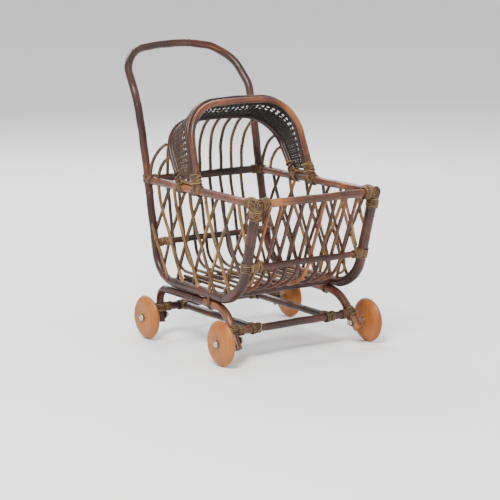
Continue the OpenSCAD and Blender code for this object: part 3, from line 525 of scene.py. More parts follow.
def metal_material(name, colour, dark, rough):
    """Turned steel, slightly bronzed, with brush marks and darker stains."""
    g = Graph(name)
    where = g.new("ShaderNodeTexCoord").outputs["Object"]
    stain = g.noise(where, 260, 4, 0.6)
    brush = g.noise(where, 1500, 3, 0.6, (1, 0.12, 1))
    shade = g.mix(g.spread(stain, 0.38, 0.68), colour, dark)
    g.link(shade, g.shader.inputs["Base Color"])
    uneven = g.spread(g.math("ADD", stain, brush), 0.7, 1.3, rough - 0.1, rough + 0.18)
    g.link(uneven, g.shader.inputs["Roughness"])
    g.shader.inputs["Metallic"].default_value = 1.0
    g.bump([(brush, 0.00006), (stain, 0.00012)])
    return g.material


DARK = (0.006, 0.0025, 0.002)
dark_cane = cane_material("dark_cane", [
    (0.0, (0.008, 0.0026, 0.002)), (0.35, (0.023, 0.0066, 0.0042)), (0.62, (0.052, 0.0145, 0.0075)),
    (0.82, (0.125, 0.036, 0.0135)), (1.0, (0.33, 0.112, 0.036))], DARK, gloss=0.36, coat=0.14)
red_cane = cane_material("red_cane", [
    (0.0, (0.016, 0.0052, 0.003)), (0.35, (0.060, 0.0170, 0.0078)), (0.62, (0.145, 0.0435, 0.0145)),
    (0.82, (0.29, 0.096, 0.027)), (1.0, (0.46, 0.180, 0.052))], DARK, gloss=0.36, coat=0.16)
gold_cane = cane_material("gold_cane", [
    (0.0, (0.011, 0.0055, 0.003)), (0.35, (0.046, 0.020, 0.0075)), (0.62, (0.118, 0.056, 0.0165)),
    (0.82, (0.230, 0.120, 0.034)), (1.0, (0.40, 0.235, 0.075))], (0.007, 0.0035, 0.002), gloss=0.4, coat=0.1,
    patch_scale=26)
# rings here sets the depth of the painted shade at the strand edges
binding_cane = cane_material("binding_cane", [
    (0.0, (0.020, 0.009, 0.004)), (0.35, (0.080, 0.038, 0.013)), (0.65, (0.20, 0.108, 0.036)),
    (1.0, (0.44, 0.285, 0.115))], (0.005, 0.0025, 0.0015), gloss=0.44, coat=0.06, patch_scale=60, flecks=0.3,
    rings=0.97)
# rings here sets the depth of the painted shade at the strand edges
band_cane = cane_material("band_cane", [
    (0.0, (0.011, 0.0046, 0.003)), (0.4, (0.034, 0.0140, 0.0075)), (0.75, (0.100, 0.044, 0.0165)),
    (1.0, (0.25, 0.130, 0.050))], (0.004, 0.002, 0.0015), gloss=0.5, coat=0.05, patch_scale=60, flecks=0.3,
    rings=0.9)
wheel_wood = wood_material("wheel_wood")
bolt_steel = metal_material("bolt_steel", (0.62, 0.55, 0.46), (0.30, 0.23, 0.17), 0.36)
dark_steel = metal_material("dark_steel", (0.22, 0.18, 0.15), (0.09, 0.07, 0.06), 0.45)
CANES = {"dark_cane": dark_cane, "red_cane": red_cane, "gold_cane": gold_cane}

# ---- Handle and frame ----

HANDLE_LEAN = math.radians(42)
HANDLE_REACH, HANDLE_RISE, HANDLE_NECK = 109.5, 236.4, 92
ELBOW_SPREAD, KNEE_RISE = 2.5, 77
CROWN_BEND, CROWN, CORNER_X = 300.0, 19.7, 114.6
handle_up = vec(0, math.sin(HANDLE_LEAN), math.cos(HANDLE_LEAN))
crown_turn = math.atan(CROWN / CORNER_X)
handle_top = vec(0, REAR_Y + HANDLE_REACH, RIM_H + HANDLE_RISE)
handle_mid = handle_top + handle_up * CROWN_BEND * (1 / math.cos(crown_turn) - 1)
handle_shoulder = handle_mid - handle_up * CROWN - vec(CORNER_X, 0, 0)
handle_elbow = handle_shoulder - handle_up * HANDLE_NECK - vec(HALF_W + ELBOW_SPREAD - CORNER_X, 0, 0)
handle_knee = vec(-HALF_W, REAR_Y + KNEE_RISE * math.tan(REAR_LEAN), RIM_H + KNEE_RISE)
handle_half = [vec(-HALF_W, SILL_REAR_Y, SILL_Z), vec(-HALF_W, REAR_CORNER_Y, SILL_Z), handle_knee,
               handle_elbow, handle_shoulder]
handle_line = path_points(both_sides(handle_half, handle_mid),
                          [REAR_BEND, 120, 62, 68, CROWN_BEND, 68, 62, 120, REAR_BEND])
shape = Shape()
pole(shape, handle_line, HANDLE_D, 11, wander=0.8, nodes_every=(120, 190), sides=22, tone=0.45, tone_spread=0.3)
make("handle_pole", shape, dark_cane, ["push_handle"])

post_dir = vec(0, -math.sin(FRONT_LEAN), math.cos(FRONT_LEAN))


def post_point(side, up):
    """A place on a front post's centre line, up above the rim."""
    return vec(side * HALF_W, FRONT_Y, RIM_H) + post_dir * (up / math.cos(FRONT_LEAN))


for side, word, seed in ((-1, "left", 21), (1, "right", 22)):
    shape = Shape()
    line = path_points([post_point(side, 6), vec(side * HALF_W, FRONT_CORNER_Y, SILL_Z),
                        vec(side * HALF_W, SILL_REAR_Y, SILL_Z)], [SILL_BEND])
    pole(shape, line, SILL_D, seed, nodes_every=(110, 160), sides=22, tone=0.42, swell=0.7)
    make("sill_pole_" + word, shape, dark_cane, ["side_frame_" + word])

def crosswise(y, z, past=0.0):
    """The ends of a pole across the stroller."""
    return vec(-HALF_W - past, y, z), vec(HALF_W + past, y, z)


def lengthwise(x, front, rear):
    """The ends of a pole along the stroller; front and rear are (y, z)."""
    return vec(x, *front), vec(x, *rear)


ROD_PAST = 1.0  # how far the axle rods run past the basket's sides
RIM_FRONT, RIM_REAR = (FRONT_Y, RIM_H), (REAR_Y, RIM_H)
STRAIGHT = [
    # piece, CAD node, ends, diameter, slot, tone
    ("rim_pole_left", "rim_left", lengthwise(-HALF_W, RIM_FRONT, RIM_REAR), RIM_D, "red_cane", 0.55),
    ("rim_pole_right", "rim_right", lengthwise(HALF_W, RIM_FRONT, RIM_REAR), RIM_D, "red_cane", 0.40),
    ("rim_pole_front", "rim_front", crosswise(*RIM_FRONT), RIM_D, "red_cane", 0.45),
    ("rim_pole_rear", "rim_rear", crosswise(*RIM_REAR), RIM_D, "dark_cane", 0.30),
    ("rail_pole_front", "mid_rail_front", crosswise(FRONT_MID_Y, MID_Z), MID_D, "dark_cane", 0.45),
    ("rail_pole_rear", "mid_rail_rear", crosswise(REAR_MID_Y, MID_Z), MID_D, "dark_cane", 0.35),
    ("floor_pole_front", "bottom_rail_front", crosswise(FRONT_RAIL_Y, SILL_Z), BOTTOM_D, "dark_cane", 0.4),
    ("floor_pole_rear", "bottom_rail_rear", crosswise(REAR_RAIL_Y, SILL_Z), BOTTOM_D, "dark_cane", 0.35),
    ("axle_pole_front", "axle_rod_front", crosswise(*FRONT_ROD[1:], ROD_PAST), ROD_D, "dark_cane", 0.5),
    ("axle_pole_rear", "axle_rod_rear", crosswise(*REAR_ROD[1:], ROD_PAST), ROD_D, "dark_cane", 0.4),
    ("stretcher_pole_left", "stretcher_left", lengthwise(-STRETCHER_X, FRONT_ROD[1:], REAR_ROD[1:]), STRETCHER_D,
     "dark_cane", 0.5),
    ("stretcher_pole_right", "stretcher_right", lengthwise(STRETCHER_X, FRONT_ROD[1:], REAR_ROD[1:]), STRETCHER_D,
     "dark_cane", 0.45),
]
for seed, (name, node, (a, b), d, slot, tone) in enumerate(STRAIGHT, 31):
    shape = Shape()
    pole(shape, [a, lerp(a, b, 0.5), b], d, seed, tone=tone)
    make(name, shape, CANES[slot], [node])

# ---- Hood ----

HOOP_CROWN, HOOP_TOP_BEND, HOOP_BEND, LAY = 5.0, 420.0, 70.0, 0.2
HOOD_LEAN, REAR_HOOP_LEAN = math.radians(19.6), math.radians(32.8)
HOOD_FRONT, REAR_HOOP_AT = 177, 238.5  # the hoops' feet, back from the front rim
HOOD_LEG, HOOD_SHOULDER = 152, 114
SECOND_GAP, SECOND_TURN, SECOND_RISE, SECOND_SPREAD = 1.6, math.radians(0.6), 3.3, 1
REAR_HOOP_LEG, REAR_HOOP_SHOULDER = 127, 119


def hoop_path(foot_y, lean, leg, shoulder):
    half = [vec(-HALF_W, foot_y, RIM_H),
            vec(-shoulder, foot_y + leg * math.sin(lean), RIM_H + leg * math.cos(lean))]
    top = leg + HOOP_CROWN
    return both_sides(half, vec(0, foot_y + top * math.sin(lean), RIM_H + top * math.cos(lean)))


def shifted(path, dy):
    return [p + vec(0, dy, 0) for p in path]


front_hoop_y = FRONT_Y + HOOD_FRONT
second_hoop_y = front_hoop_y + (HOOP_D + SECOND_D + 2 * LAY) / 2 / math.cos(HOOD_LEAN) + SECOND_GAP
edge_rod_y = second_hoop_y + (SECOND_D + EDGE_D + 2 * LAY) / 2 / math.cos(HOOD_LEAN)
rear_hoop_y = FRONT_Y + REAR_HOOP_AT
inner_hoop_y = rear_hoop_y - (REAR_HOOP_D + INNER_D + 2 * LAY) / 2 / math.cos(REAR_HOOP_LEAN)
front_hoop = hoop_path(front_hoop_y, HOOD_LEAN, HOOD_LEG, HOOD_SHOULDER)
second_hoop = hoop_path(second_hoop_y, HOOD_LEAN - SECOND_TURN, HOOD_LEG + SECOND_RISE,
                        HOOD_SHOULDER + SECOND_SPREAD)
edge_rod = shifted(second_hoop, edge_rod_y - second_hoop_y)
rear_hoop = hoop_path(rear_hoop_y, REAR_HOOP_LEAN, REAR_HOOP_LEG, REAR_HOOP_SHOULDER)
inner_hoop = shifted(rear_hoop, inner_hoop_y - rear_hoop_y)


def hoop_line(path):
    return path_points(path, [HOOP_BEND, HOOP_TOP_BEND, HOOP_BEND])


HOOPS = [
    # piece, CAD node, path, diameter, slot, tone
    ("hoop_pole_front", "hood_front_hoop", front_hoop, HOOP_D, "red_cane", 0.50),
    ("hoop_pole_second", "hood_second_hoop", second_hoop, SECOND_D, "dark_cane", 0.45),
    ("hoop_pole_rear", "hood_rear_hoop", rear_hoop, REAR_HOOP_D, "dark_cane", 0.45),
    ("hoop_pole_inner", "hood_inner_hoop", inner_hoop, INNER_D, "dark_cane", 0.30),
    ("hoop_pole_edge", "hood_edge_rod", edge_rod, EDGE_D, "dark_cane", 0.25),
]
for seed, (name, node, path, d, slot, tone) in enumerate(HOOPS, 51):
    shape = Shape()
    pole(shape, hoop_line(path), d, seed, wander=0.25, nodes_every=(100, 170), swell=0.4, tone=tone,
         tone_spread=0.3)
    make(name, shape, CANES[slot], [node])

doubler_z = RIM_H + (RIM_D + DOUBLER_D) / 2
for side, word, seed in ((-1, "left", 58), (1, "right", 59)):
    shape = Shape()
    pole(shape, lengthwise(side * HALF_W, (second_hoop_y + 10, doubler_z), (inner_hoop_y + 4, doubler_z)),
         DOUBLER_D, seed, wander=0.0, tone=0.55)
    make("doubler_" + word, shape, gold_cane, ["rim_doubler_" + word])

# The woven band. Upright pairs of flat canes run from hoop to hoop, and rows of canes run over and
# under them. Two rows of openings are left: a wide one that open_row follows, and a finer one behind it.
BAND_GROUPS = 44
BAND_FOOT = 0.12  # share of a hoop's leg that the band leaves free
WEAVE = 1.05      # how far a strand goes over or under, in millimetres
BAND_SINK = 0.3   # how far the weave lies in from the band's middle
UPRIGHT_W, UPRIGHT_PITCH = 2.8, 2.7


def band_edge(path):
    line = hoop_line(path)
    line[0] = lerp(path[0], path[1], BAND_FOOT)
    line[-1] = lerp(path[-1], path[-2], BAND_FOOT)
    return np.array(line)


edge_front, edge_rear = band_edge(edge_rod), band_edge(inner_hoop)
share_front, share_rear = lengths(edge_front), lengths(edge_rear)
share_front, share_rear = share_front / share_front[-1], share_rear / share_rear[-1]


def band_at(u, v, h):
    """Places on the band: u along it, v from the edge rod to the inner hoop, h off its face."""
    def on(line, share, at):
        return np.stack([np.interp(at, share, line[:, k]) for k in range(3)], -1)
    f, r = on(edge_front, share_front, u), on(edge_rear, share_rear, u)
    du = 0.004
    ahead, behind = (on(edge_front, share_front, np.clip(u + by, 0, 1)) for by in (du, -du))
    along = ahead - behind
    across = r - f
    n = np.cross(along, across)
    n /= np.linalg.norm(n, axis=-1)[..., None]
    return f + across * np.asarray(v)[..., None] + n * np.asarray(h)[..., None]


def band_ribbon(shape, u, v, h, wide_u, wide_v, thick, seed, tone):
    """A flat strand whose middle goes through (u, v, h); wide_u or wide_v is its width in shares."""
    rng = np.random.default_rng(seed)
    across, up = LENS[:, 0], LENS[:, 1] * thick
    uu = u[:, None] + across[None] * np.broadcast_to(wide_u, u.shape)[:, None]
    vv = v[:, None] + across[None] * np.broadcast_to(wide_v, v.shape)[:, None]
    hh = h[:, None] + up[None]
    places = band_at(np.clip(uu, 0, 1), vv, hh)
    run = lengths(places[:, 3])
    grain = np.stack([np.broadcast_to(across[None] * 2.5, uu.shape), np.broadcast_to(up[None], uu.shape),
                      np.broadcast_to(run[:, None], uu.shape) + STRAND_SHIFT * rng.uniform(1, 9)], -1)
    shade = tone + 0.15 * waves(run, rng, 30)
    # the strand's edges get painted shade, for the gaps in the weave
    shape.grid(places, grain, shade[:, None], LENS_PAINTED_SHADE[None] * np.ones((len(u), 1)))


ROWS = 18
# Half heights of the two rows of openings, and the fine row's place behind the wide one, in shares
# of the band's width
OPEN = 0.05
FINE_AT, FINE, FINE_EDGE = 0.125, 0.030, 0.012
row_step = 1.0 / ROWS


def open_row(u):
    """Where the open row runs: beside the edge rod on the sides, and mid-band over the top."""
    return 0.10 + 0.46 * np.clip(np.sin(np.pi * np.clip((u - 0.16) / 0.68, 0, 1)), 0, 1) ** 1.3


rng = np.random.default_rng(70)
length_u = np.linalg.norm(np.diff(edge_front, axis=0), axis=1).sum()
shape = Shape()
v = np.linspace(0.0, 1.0, 74)
for j in range(BAND_GROUPS + 1):
    for k in (-0.5, 0.5):
        u0 = j / BAND_GROUPS + k * UPRIGHT_PITCH / length_u
        if not 0 <= u0 <= 1:
            continue
        h = WEAVE * (-1) ** j * np.cos(math.pi * (v / row_step - 0.5)) * np.interp(v, [0, 0.08], [0, 1])
        band_ribbon(shape, np.full_like(v, u0), v, h - BAND_SINK, UPRIGHT_W / length_u, 0.0, 0.8,
                    700 + j * 2 + (k > 0), rng.uniform(0.15, 0.75))
make("band_uprights", shape, band_cane, ["hood_band"])
shape = Shape()
u = np.linspace(0.0, 1.0, BAND_GROUPS * 6 + 1)
for row in range(ROWS):
    v0 = (row + 0.5) * row_step
    keep = np.abs(open_row(u) - v0) > OPEN + row_step * 0.15
    keep &= np.abs(open_row(u) + FINE_AT - v0) > FINE
    cuts = np.flatnonzero(np.diff(keep.astype(int))) + 1
    for part in np.split(np.arange(len(u)), cuts):
        if keep[part[0]] and len(part) > 4:
            h = -WEAVE * (-1) ** row * np.cos(math.pi * BAND_GROUPS * u[part])
            band_ribbon(shape, u[part], np.full(len(part), v0), h - BAND_SINK, 0.0, row_step * 1.3, 0.85,
                        800 + row, rng.uniform(0.1, 0.7))
# The strands that edge the openings
for k, (v0, wide) in enumerate(((-OPEN, 0.7), (OPEN, 0.6), (FINE_AT + FINE + FINE_EDGE, 0.6))):
    h = WEAVE * (-1) ** k * np.cos(math.pi * BAND_GROUPS * u)
    band_ribbon(shape, u, open_row(u) + v0, h - BAND_SINK, 0.0, row_step * wide, 1.0, 840 + k, 0.45)
make("band_rows", shape, band_cane, None)

# ---- Canes ----

REAR_PITCH, REAR_COUNT, CANE_D, RING = 23.5, 8, 6.0, 0.3
TUCK_BACK, TUCK_DOWN = 0.85, 0.55  # shares of hood_tuck, because the canes end under the hoop and behind it
SIDE_HOOD_CANES = ((9, 70), (36, 48))  # foot in front of the rear rim, end above it
SIDE_END_IN = 4
rear_xs = [(i - (REAR_COUNT - 1) / 2) * REAR_PITCH for i in range(REAR_COUNT)]
hood_tuck = (REAR_HOOP_D + CANE_D) / 2 + LAY + RING


def hoop_at(x):
    line = hoop_line(rear_hoop)
    for a, b in zip(line[:-1], line[1:]):
        if a[0] <= x < b[0]:
            return lerp(a, b, (x - a[0]) / (b[0] - a[0]))


def leaning(foot, end, angle, steps):
    """A cane that rises from foot and turns through angle towards end."""
    reach = foot[1] - end[1]
    r = reach / (1 - math.cos(angle))
    low = end[2] - r * math.sin(angle)
    points = [foot]
    for i in range(0 if low > foot[2] + 2 else 1, steps + 1):
        a = angle * i / steps
        t = (1 - math.cos(a)) * r / reach
        points.append(vec(foot[0] + (end[0] - foot[0]) * t, foot[1] - reach * t, low + r * math.sin(a)))
    return points


rng = np.random.default_rng(90)
shape = Shape()
for i, x in enumerate(rear_xs):
    end = hoop_at(x) + vec(0, hood_tuck * TUCK_BACK, -hood_tuck * TUCK_DOWN)
    cane(shape, leaning(vec(x + 0.6, REAR_Y - 0.2, RIM_H), end, math.radians(58), 12), CANE_D, 900 + i,
         rng.uniform(0.15, 0.75), wander=1.0)
for side in (-1, 1):
    for k, (back, up) in enumerate(SIDE_HOOD_CANES):
        foot = vec(side * HALF_W, REAR_Y - back, RIM_H)
        end = vec(side * (HALF_W - SIDE_END_IN), rear_hoop_y + up * math.tan(REAR_HOOP_LEAN) + hood_tuck,
                  RIM_H + up)
        turn = 2 * math.atan((foot[1] - end[1]) / up)
        cane(shape, leaning(foot, end, turn, 10), CANE_D, 920 + k * 2 + side, rng.uniform(0.3, 0.8))
make("hood_cane_set", shape, gold_cane, ["hood_canes"])


def outline():
    """The side panel's outline, as (y, z)."""
    front = path_points([vec(0, FRONT_Y, RIM_H), vec(0, FRONT_CORNER_Y, SILL_Z), vec(0, SILL_REAR_Y, SILL_Z)],
                        [SILL_BEND], 10)
    rear = path_points([vec(0, SILL_REAR_Y, SILL_Z), vec(0, REAR_CORNER_Y, SILL_Z), vec(0, REAR_Y, RIM_H)],
                       [REAR_BEND], 10)
    return [p[1:] for p in front + rear]


OUTLINE = outline()


def hits(a, b):
    """The first and the last place where the stretch from a to b crosses the outline."""
    found = []
    for p, q in zip(OUTLINE[:-1], OUTLINE[1:]):
        u, v, w = b - a, q - p, p - a
        k = u[0] * v[1] - u[1] * v[0]
        if abs(k) < 1e-6:
            continue
        t, s = (w[0] * v[1] - w[1] * v[0]) / k, (w[0] * u[1] - w[1] * u[0]) / k
        if 0 < t <= 1.01 and 0 <= s < 1:
            found.append(t)
    return [lerp(a, b, t) for t in (sorted(found)[:1] + sorted(found)[1:][-1:])]


def inside(p):
    return (p[0] > FRONT_Y + (RIM_H - p[1]) * math.tan(FRONT_LEAN)
            and p[0] < REAR_Y - (RIM_H - p[1]) * math.tan(REAR_LEAN))


def side_way(start, knee, run, way):
    """A side cane from the rim over its knee to the sill, cut at the outline."""
    a = vec(start, RIM_H)
    b = vec(start + way * knee[0], RIM_H - knee[1])
    c = vec(start + way * run, SILL_Z)
    low, high = hits(b, c), hits(a, b)
    if inside(b):
        return ([a] if inside(a) else high) + [b] + (low[:1] or [c])
    if inside(a) and high:
        return [a, high[0]]
    return low if len(low) > 1 else []


SIDE_PITCH, SIDE_D, SIDE_RUN = 51.5, 6.0, 84
FAMILIES = [
    # family, starts on the rim, knee, way along Y
    ("outer", [REAR_Y + 10 - i * SIDE_PITCH for i in range(7)], (9, 44), -1),
    ("inner", [REAR_Y - 73 - i * SIDE_PITCH for i in range(6)], (62, 109), 1),
]
side_shift = (SIDE_D + LAY) / 2 + RING
for side, word in WORDS:
    for family, starts, knee, way in FAMILIES:
        shape = Shape()
        x = side * (HALF_W + (side_shift if family == "outer" else -side_shift))
        for i, start in enumerate(starts):
            line = side_way(start, knee, SIDE_RUN, way)
            if len(line) < 2:
                continue
            points = smooth([vec(x, p[0], p[1]) for p in line], 3)
            cane(shape, points, SIDE_D, 1000 + i + 20 * (side + 1) + 10 * (way + 1), rng.uniform(0.1, 0.95),
                 wander=0.9)
        make("side_cane_set_%s_%s" % (word, family), shape, gold_cane,
             ["side_canes_%s_%s" % (word, family)])

STEEP_D, SLANT_D, FRONT_PITCH, SLANT_PITCH = 6.4, 5.0, 23.0, 33.0
STEEP_COUNT, STEEP_SLOPE, SLANT_SLOPE = 9, -0.1, 0.49
MID_OUT = 6.0
FRONT_LIMIT_IN, FRONT_BEND_IN, REAR_BEND_IN, FRONT_DRIFT, SLANT_START = 8, 12, 14, 20, 40
steep_in = ((MID_D + STEEP_D) / 2 + LAY + RING) / math.cos(FRONT_LEAN) - MID_OUT
slant_in = steep_in + (STEEP_D + SLANT_D) / 2 + LAY + 2 * RING
FLOOR_Z = SILL_Z + (BOTTOM_D + STEEP_D) / 2 + LAY + RING
FRONT_LIMIT = HALF_W - FRONT_LIMIT_IN


def front_cane_line(x, slope, inward, low_z):
    """A front cane from the rim, round the bend and under the floor, cut at the basket's sides."""
    drop = RIM_H - low_z
    start = vec(x, FRONT_Y + inward, RIM_H)
    knee = vec(x + slope * drop, start[1] + drop * math.tan(FRONT_LEAN), low_z)
    end = vec(knee[0] + slope * FRONT_DRIFT, FRONT_RAIL_Y, low_z)
    line = path_points([start, knee, end], [SILL_BEND - FRONT_BEND_IN], 10)
    out = []
    for a, b in zip(line[:-1], line[1:]):
        ina, inb = abs(a[0]) < FRONT_LIMIT, abs(b[0]) < FRONT_LIMIT
        if ina:
            out.append(a)
        if ina != inb:
            t = (FRONT_LIMIT - abs(a[0])) / (abs(b[0]) - abs(a[0]))
            out.append(lerp(a, b, t))
    if abs(line[-1][0]) < FRONT_LIMIT:
        out.append(line[-1])
    return out


shape = Shape()
for i in range(STEEP_COUNT):
    x = (i - STEEP_COUNT // 2) * FRONT_PITCH
    cane(shape, front_cane_line(x, STEEP_SLOPE, steep_in, FLOOR_Z), STEEP_D, 1100 + i, rng.uniform(0.1, 0.9),
         wander=0.9)
make("front_cane_set_steep", shape, red_cane, ["front_canes_steep"])
shape = Shape()
x = -HALF_W - SLANT_START
i = 0
while x <= HALF_W - SLANT_START:
    line = front_cane_line(x, SLANT_SLOPE, slant_in, FLOOR_Z + slant_in - steep_in)
    if len(line) > 1:
        cane(shape, line, SLANT_D, 1120 + i, rng.uniform(0.2, 0.95), wander=0.9)
    x += SLANT_PITCH
    i += 1
make("front_cane_set_slanted", shape, gold_cane, ["front_canes_slanted"])

shape = Shape()
back = REAR_Y - MID_OUT + MID_D / 2 + CANE_D / 2 + LAY + RING
drop = RIM_H - FLOOR_Z
for i, x in enumerate(rear_xs):
    line = path_points([vec(x, back, RIM_H), vec(x, back - drop * math.tan(REAR_LEAN), FLOOR_Z),
                        vec(x, REAR_RAIL_Y, FLOOR_Z)], [REAR_BEND - REAR_BEND_IN], 10)
    cane(shape, line, CANE_D, 1140 + i, rng.uniform(0.1, 0.75), wander=0.9)
make("rear_cane_set", shape, gold_cane, ["rear_canes"])
shape = Shape()
for i in range(-1, REAR_COUNT + 1):
    x = (i - (REAR_COUNT - 1) / 2) * REAR_PITCH
    line = [vec(x, y, FLOOR_Z) for y in (FRONT_RAIL_Y, (FRONT_RAIL_Y + REAR_RAIL_Y) / 2, REAR_RAIL_Y)]
    cane(shape, line, CANE_D, 1161 + i, rng.uniform(0.3, 0.9), wander=0.6)
make("floor_cane_set", shape, gold_cane, ["floor_canes"])

# ---- Chassis ----

AXLE_Z = FRONT_AXLE[2]
ARCH_Z = SILL_Z - (SILL_D + ARCH_FRONT_D) / 2 - LAY
LEG_X = HALF_W + 5
SPLICE_AT, FRONT_LEG_SLOPE, REAR_LEG_SLOPE = 157, 0.77, 0.26
splice_y = FRONT_Y + SPLICE_AT
front_shoulder_y = FRONT_AXLE[1] + (ARCH_Z - AXLE_Z) * FRONT_LEG_SLOPE
rear_shoulder_y = REAR_AXLE[1] + (ARCH_Z - AXLE_Z) * REAR_LEG_SLOPE


def leg(side, rear, z):
    """The place at height z on the straight part of an arch's leg."""
    shoulder, axle = (rear_shoulder_y, REAR_AXLE[1]) if rear else (front_shoulder_y, FRONT_AXLE[1])
    down = (ARCH_Z - z) / (ARCH_Z - AXLE_Z)
    return lerp(vec(side * HALF_W, shoulder, ARCH_Z), vec(side * LEG_X, axle, AXLE_Z), down)


for side, word in WORDS:
    for rear, d, bend, seed in ((False, ARCH_FRONT_D, 60, 61), (True, ARCH_REAR_D, 20, 65)):
        shape = Shape()
        line = path_points([leg(side, rear, AXLE_Z - 12), leg(side, rear, ARCH_Z),
                            vec(side * HALF_W, splice_y, ARCH_Z)], [bend])
        place = "rear" if rear else "front"
        pole(shape, line, d, seed + side, wander=0.3, nodes_every=(80, 120), sides=20,
             tone=0.38 if rear else 0.6)
        make("arch_pole_%s_%s" % (place, word), shape, dark_cane if rear else red_cane,
             ["arch_%s_%s" % (place, word)])

# ---- Wheels and bolts ----

wheel_low, wheel_high = corners("wheel_front_left")
WHEEL_R = (wheel_high - wheel_low)[2] / 2
WHEEL_T = (wheel_high - wheel_low)[0]
FACE_R, BORE_R, BOLT_R = 29.0, 3.05, 3.0


def crown(s):
    """The tread's radius at the distance s from the wheel's middle."""
    return FACE_R + (WHEEL_R - FACE_R) * (1 - (abs(s) / (WHEEL_T / 2)) ** 1.6)


half_t = WHEEL_T / 2
wheel_profile = [(-half_t + 0.8, BORE_R)]
wheel_profile += [(-half_t, BORE_R + 0.8), (-half_t, 12.0), (-half_t + 0.25, 12.6), (-half_t, 13.2)]
wheel_profile += [(-half_t, r) for r in np.linspace(16, FACE_R - 1.2, 4)]
wheel_profile += [(-half_t + 0.15, FACE_R - 0.4)]
wheel_profile += [(s, crown(s)) for s in np.linspace(-half_t, half_t, 33)[1:-1]]
wheel_profile += [(-x, r) for x, r in reversed(wheel_profile[:10])]
wheel_profile += [wheel_profile[0]]
for seed, (place, word, side) in enumerate((("front", "left", -1), ("front", "right", 1),
                                            ("rear", "left", -1), ("rear", "right", 1)), 80):
    shape = Shape()
    node = "wheel_%s_%s" % (place, word)
    lathe(shape, wheel_profile, middle(node), 1, 96, seed, tone=0.2 + 0.2 * (seed % 3))
    make("turned_wheel_%s_%s" % (place, word), shape, wheel_wood, [node],
         body="%s_%s_wheel" % (place, word), sharp=30)

for node in ("axle_nuts", "axle_spacers"):
    nodes[node].data.materials.clear()
    nodes[node].data.materials.append(bolt_steel)
nodes["axle_washers"].data.materials.clear()
nodes["axle_washers"].data.materials.append(dark_steel)

bolt_high = corners("axle_bolts")[1]
HEAD_H, BOLT_TAIL = 4.0, 8
HEAD = [(0.0, 5.3), (0.35, 5.6), (0.9, 5.5), (1.7, 5.1), (2.6, 4.2), (3.2, 3.1), (3.5, 2.1), (3.2, 1.7),
        (3.15, 0.001)]
head_at = bolt_high[0] - HEAD_H
tail = LEG_X - ARCH_FRONT_D / 2 - BOLT_TAIL
profile = [(tail, 0.001), (tail, BOLT_R - 0.5), (tail + 0.5, BOLT_R), (head_at, BOLT_R)]
profile += [(head_at + px, pr) for px, pr in HEAD]
shape = Shape()
for side in (-1, 1):
    for axle in (FRONT_AXLE, REAR_AXLE):
        lathe(shape, profile, vec(0, axle[1], axle[2]), side, 32, 88 + side)
make("bolt_set", shape, bolt_steel, ["axle_bolts"], sharp=35)

# ---- Bindings ----

SIDES = ((-1, 0), (1, 500))  # side, and what is added to the seeds there


# Front corners: the windings of both rims run on over the corner and close it
shape = Shape()
for side, more in SIDES:
    corner = vec(side * HALF_W, FRONT_Y, RIM_H)
    seed = 2000 + more
    winding(shape, post_point(side, 3), post_point(side, -27), SILL_D / 2 + 0.3, seed, tone=0.55)
    winding(shape, corner + vec(0, -10.5, 0), corner + vec(0, 26, 0), RIM_D / 2 + 1.3, seed + 1, tone=0.5,
            closed=(6.5, 0))
    winding(shape, corner + vec(side * 10.5, 0, 0), corner - vec(side * 24, 0, 0), RIM_D / 2 + 1.5, seed + 2,
            tone=0.5, closed=(6.5, 0))
    for k, slope in enumerate((0.55, 0.75, -0.55, -0.75)):
        strand_ring(shape, post_point(side, -15 - 3 * (k % 2)), post_dir, SILL_D / 2 + 1.7, slope, 0.8 + k,
                    seed + 5 + k)
        out = 13 + 2 * (k % 2)
        strand_ring(shape, corner + vec(0, out, 0), vec(0, 1, 0), RIM_D / 2 + 2.5, slope * 0.8, 0.5 + k,
                    seed + 9 + k)
        strand_ring(shape, corner - vec(side * out, 0, 0), vec(1, 0, 0), RIM_D / 2 + 2.7, slope * 0.8, 0.4 + k,
                    seed + 13 + k)
make("corner_winding_front", shape, binding_cane, ["front_corner_bindings"])

shape = Shape()
rear_dir = vec(0, math.sin(REAR_LEAN), math.cos(REAR_LEAN))
for side, more in SIDES:
    corner = vec(side * HALF_W, REAR_Y, RIM_H)
    seed = 2100 + more
    winding(shape, corner - vec(0, 5, 0), corner - vec(0, 17, 0), RIM_D / 2 + 0.2, seed, tone=0.35)
    winding(shape, corner - vec(side * 5, 0, 0), corner - vec(side * 17, 0, 0), RIM_D / 2 + 0.2, seed + 1,
            tone=0.35)
    for k, slope in enumerate((0.9, -0.9, 1.0, -1.0)):
        strand_ring(shape, corner + rear_dir * (1.5 * (k % 2)), rear_dir, HANDLE_D / 2 + 0.2, slope, 0.6 + k,
                    seed + 5 + k, tone=0.45)
make("corner_winding_rear", shape, binding_cane, ["rear_corner_bindings"])


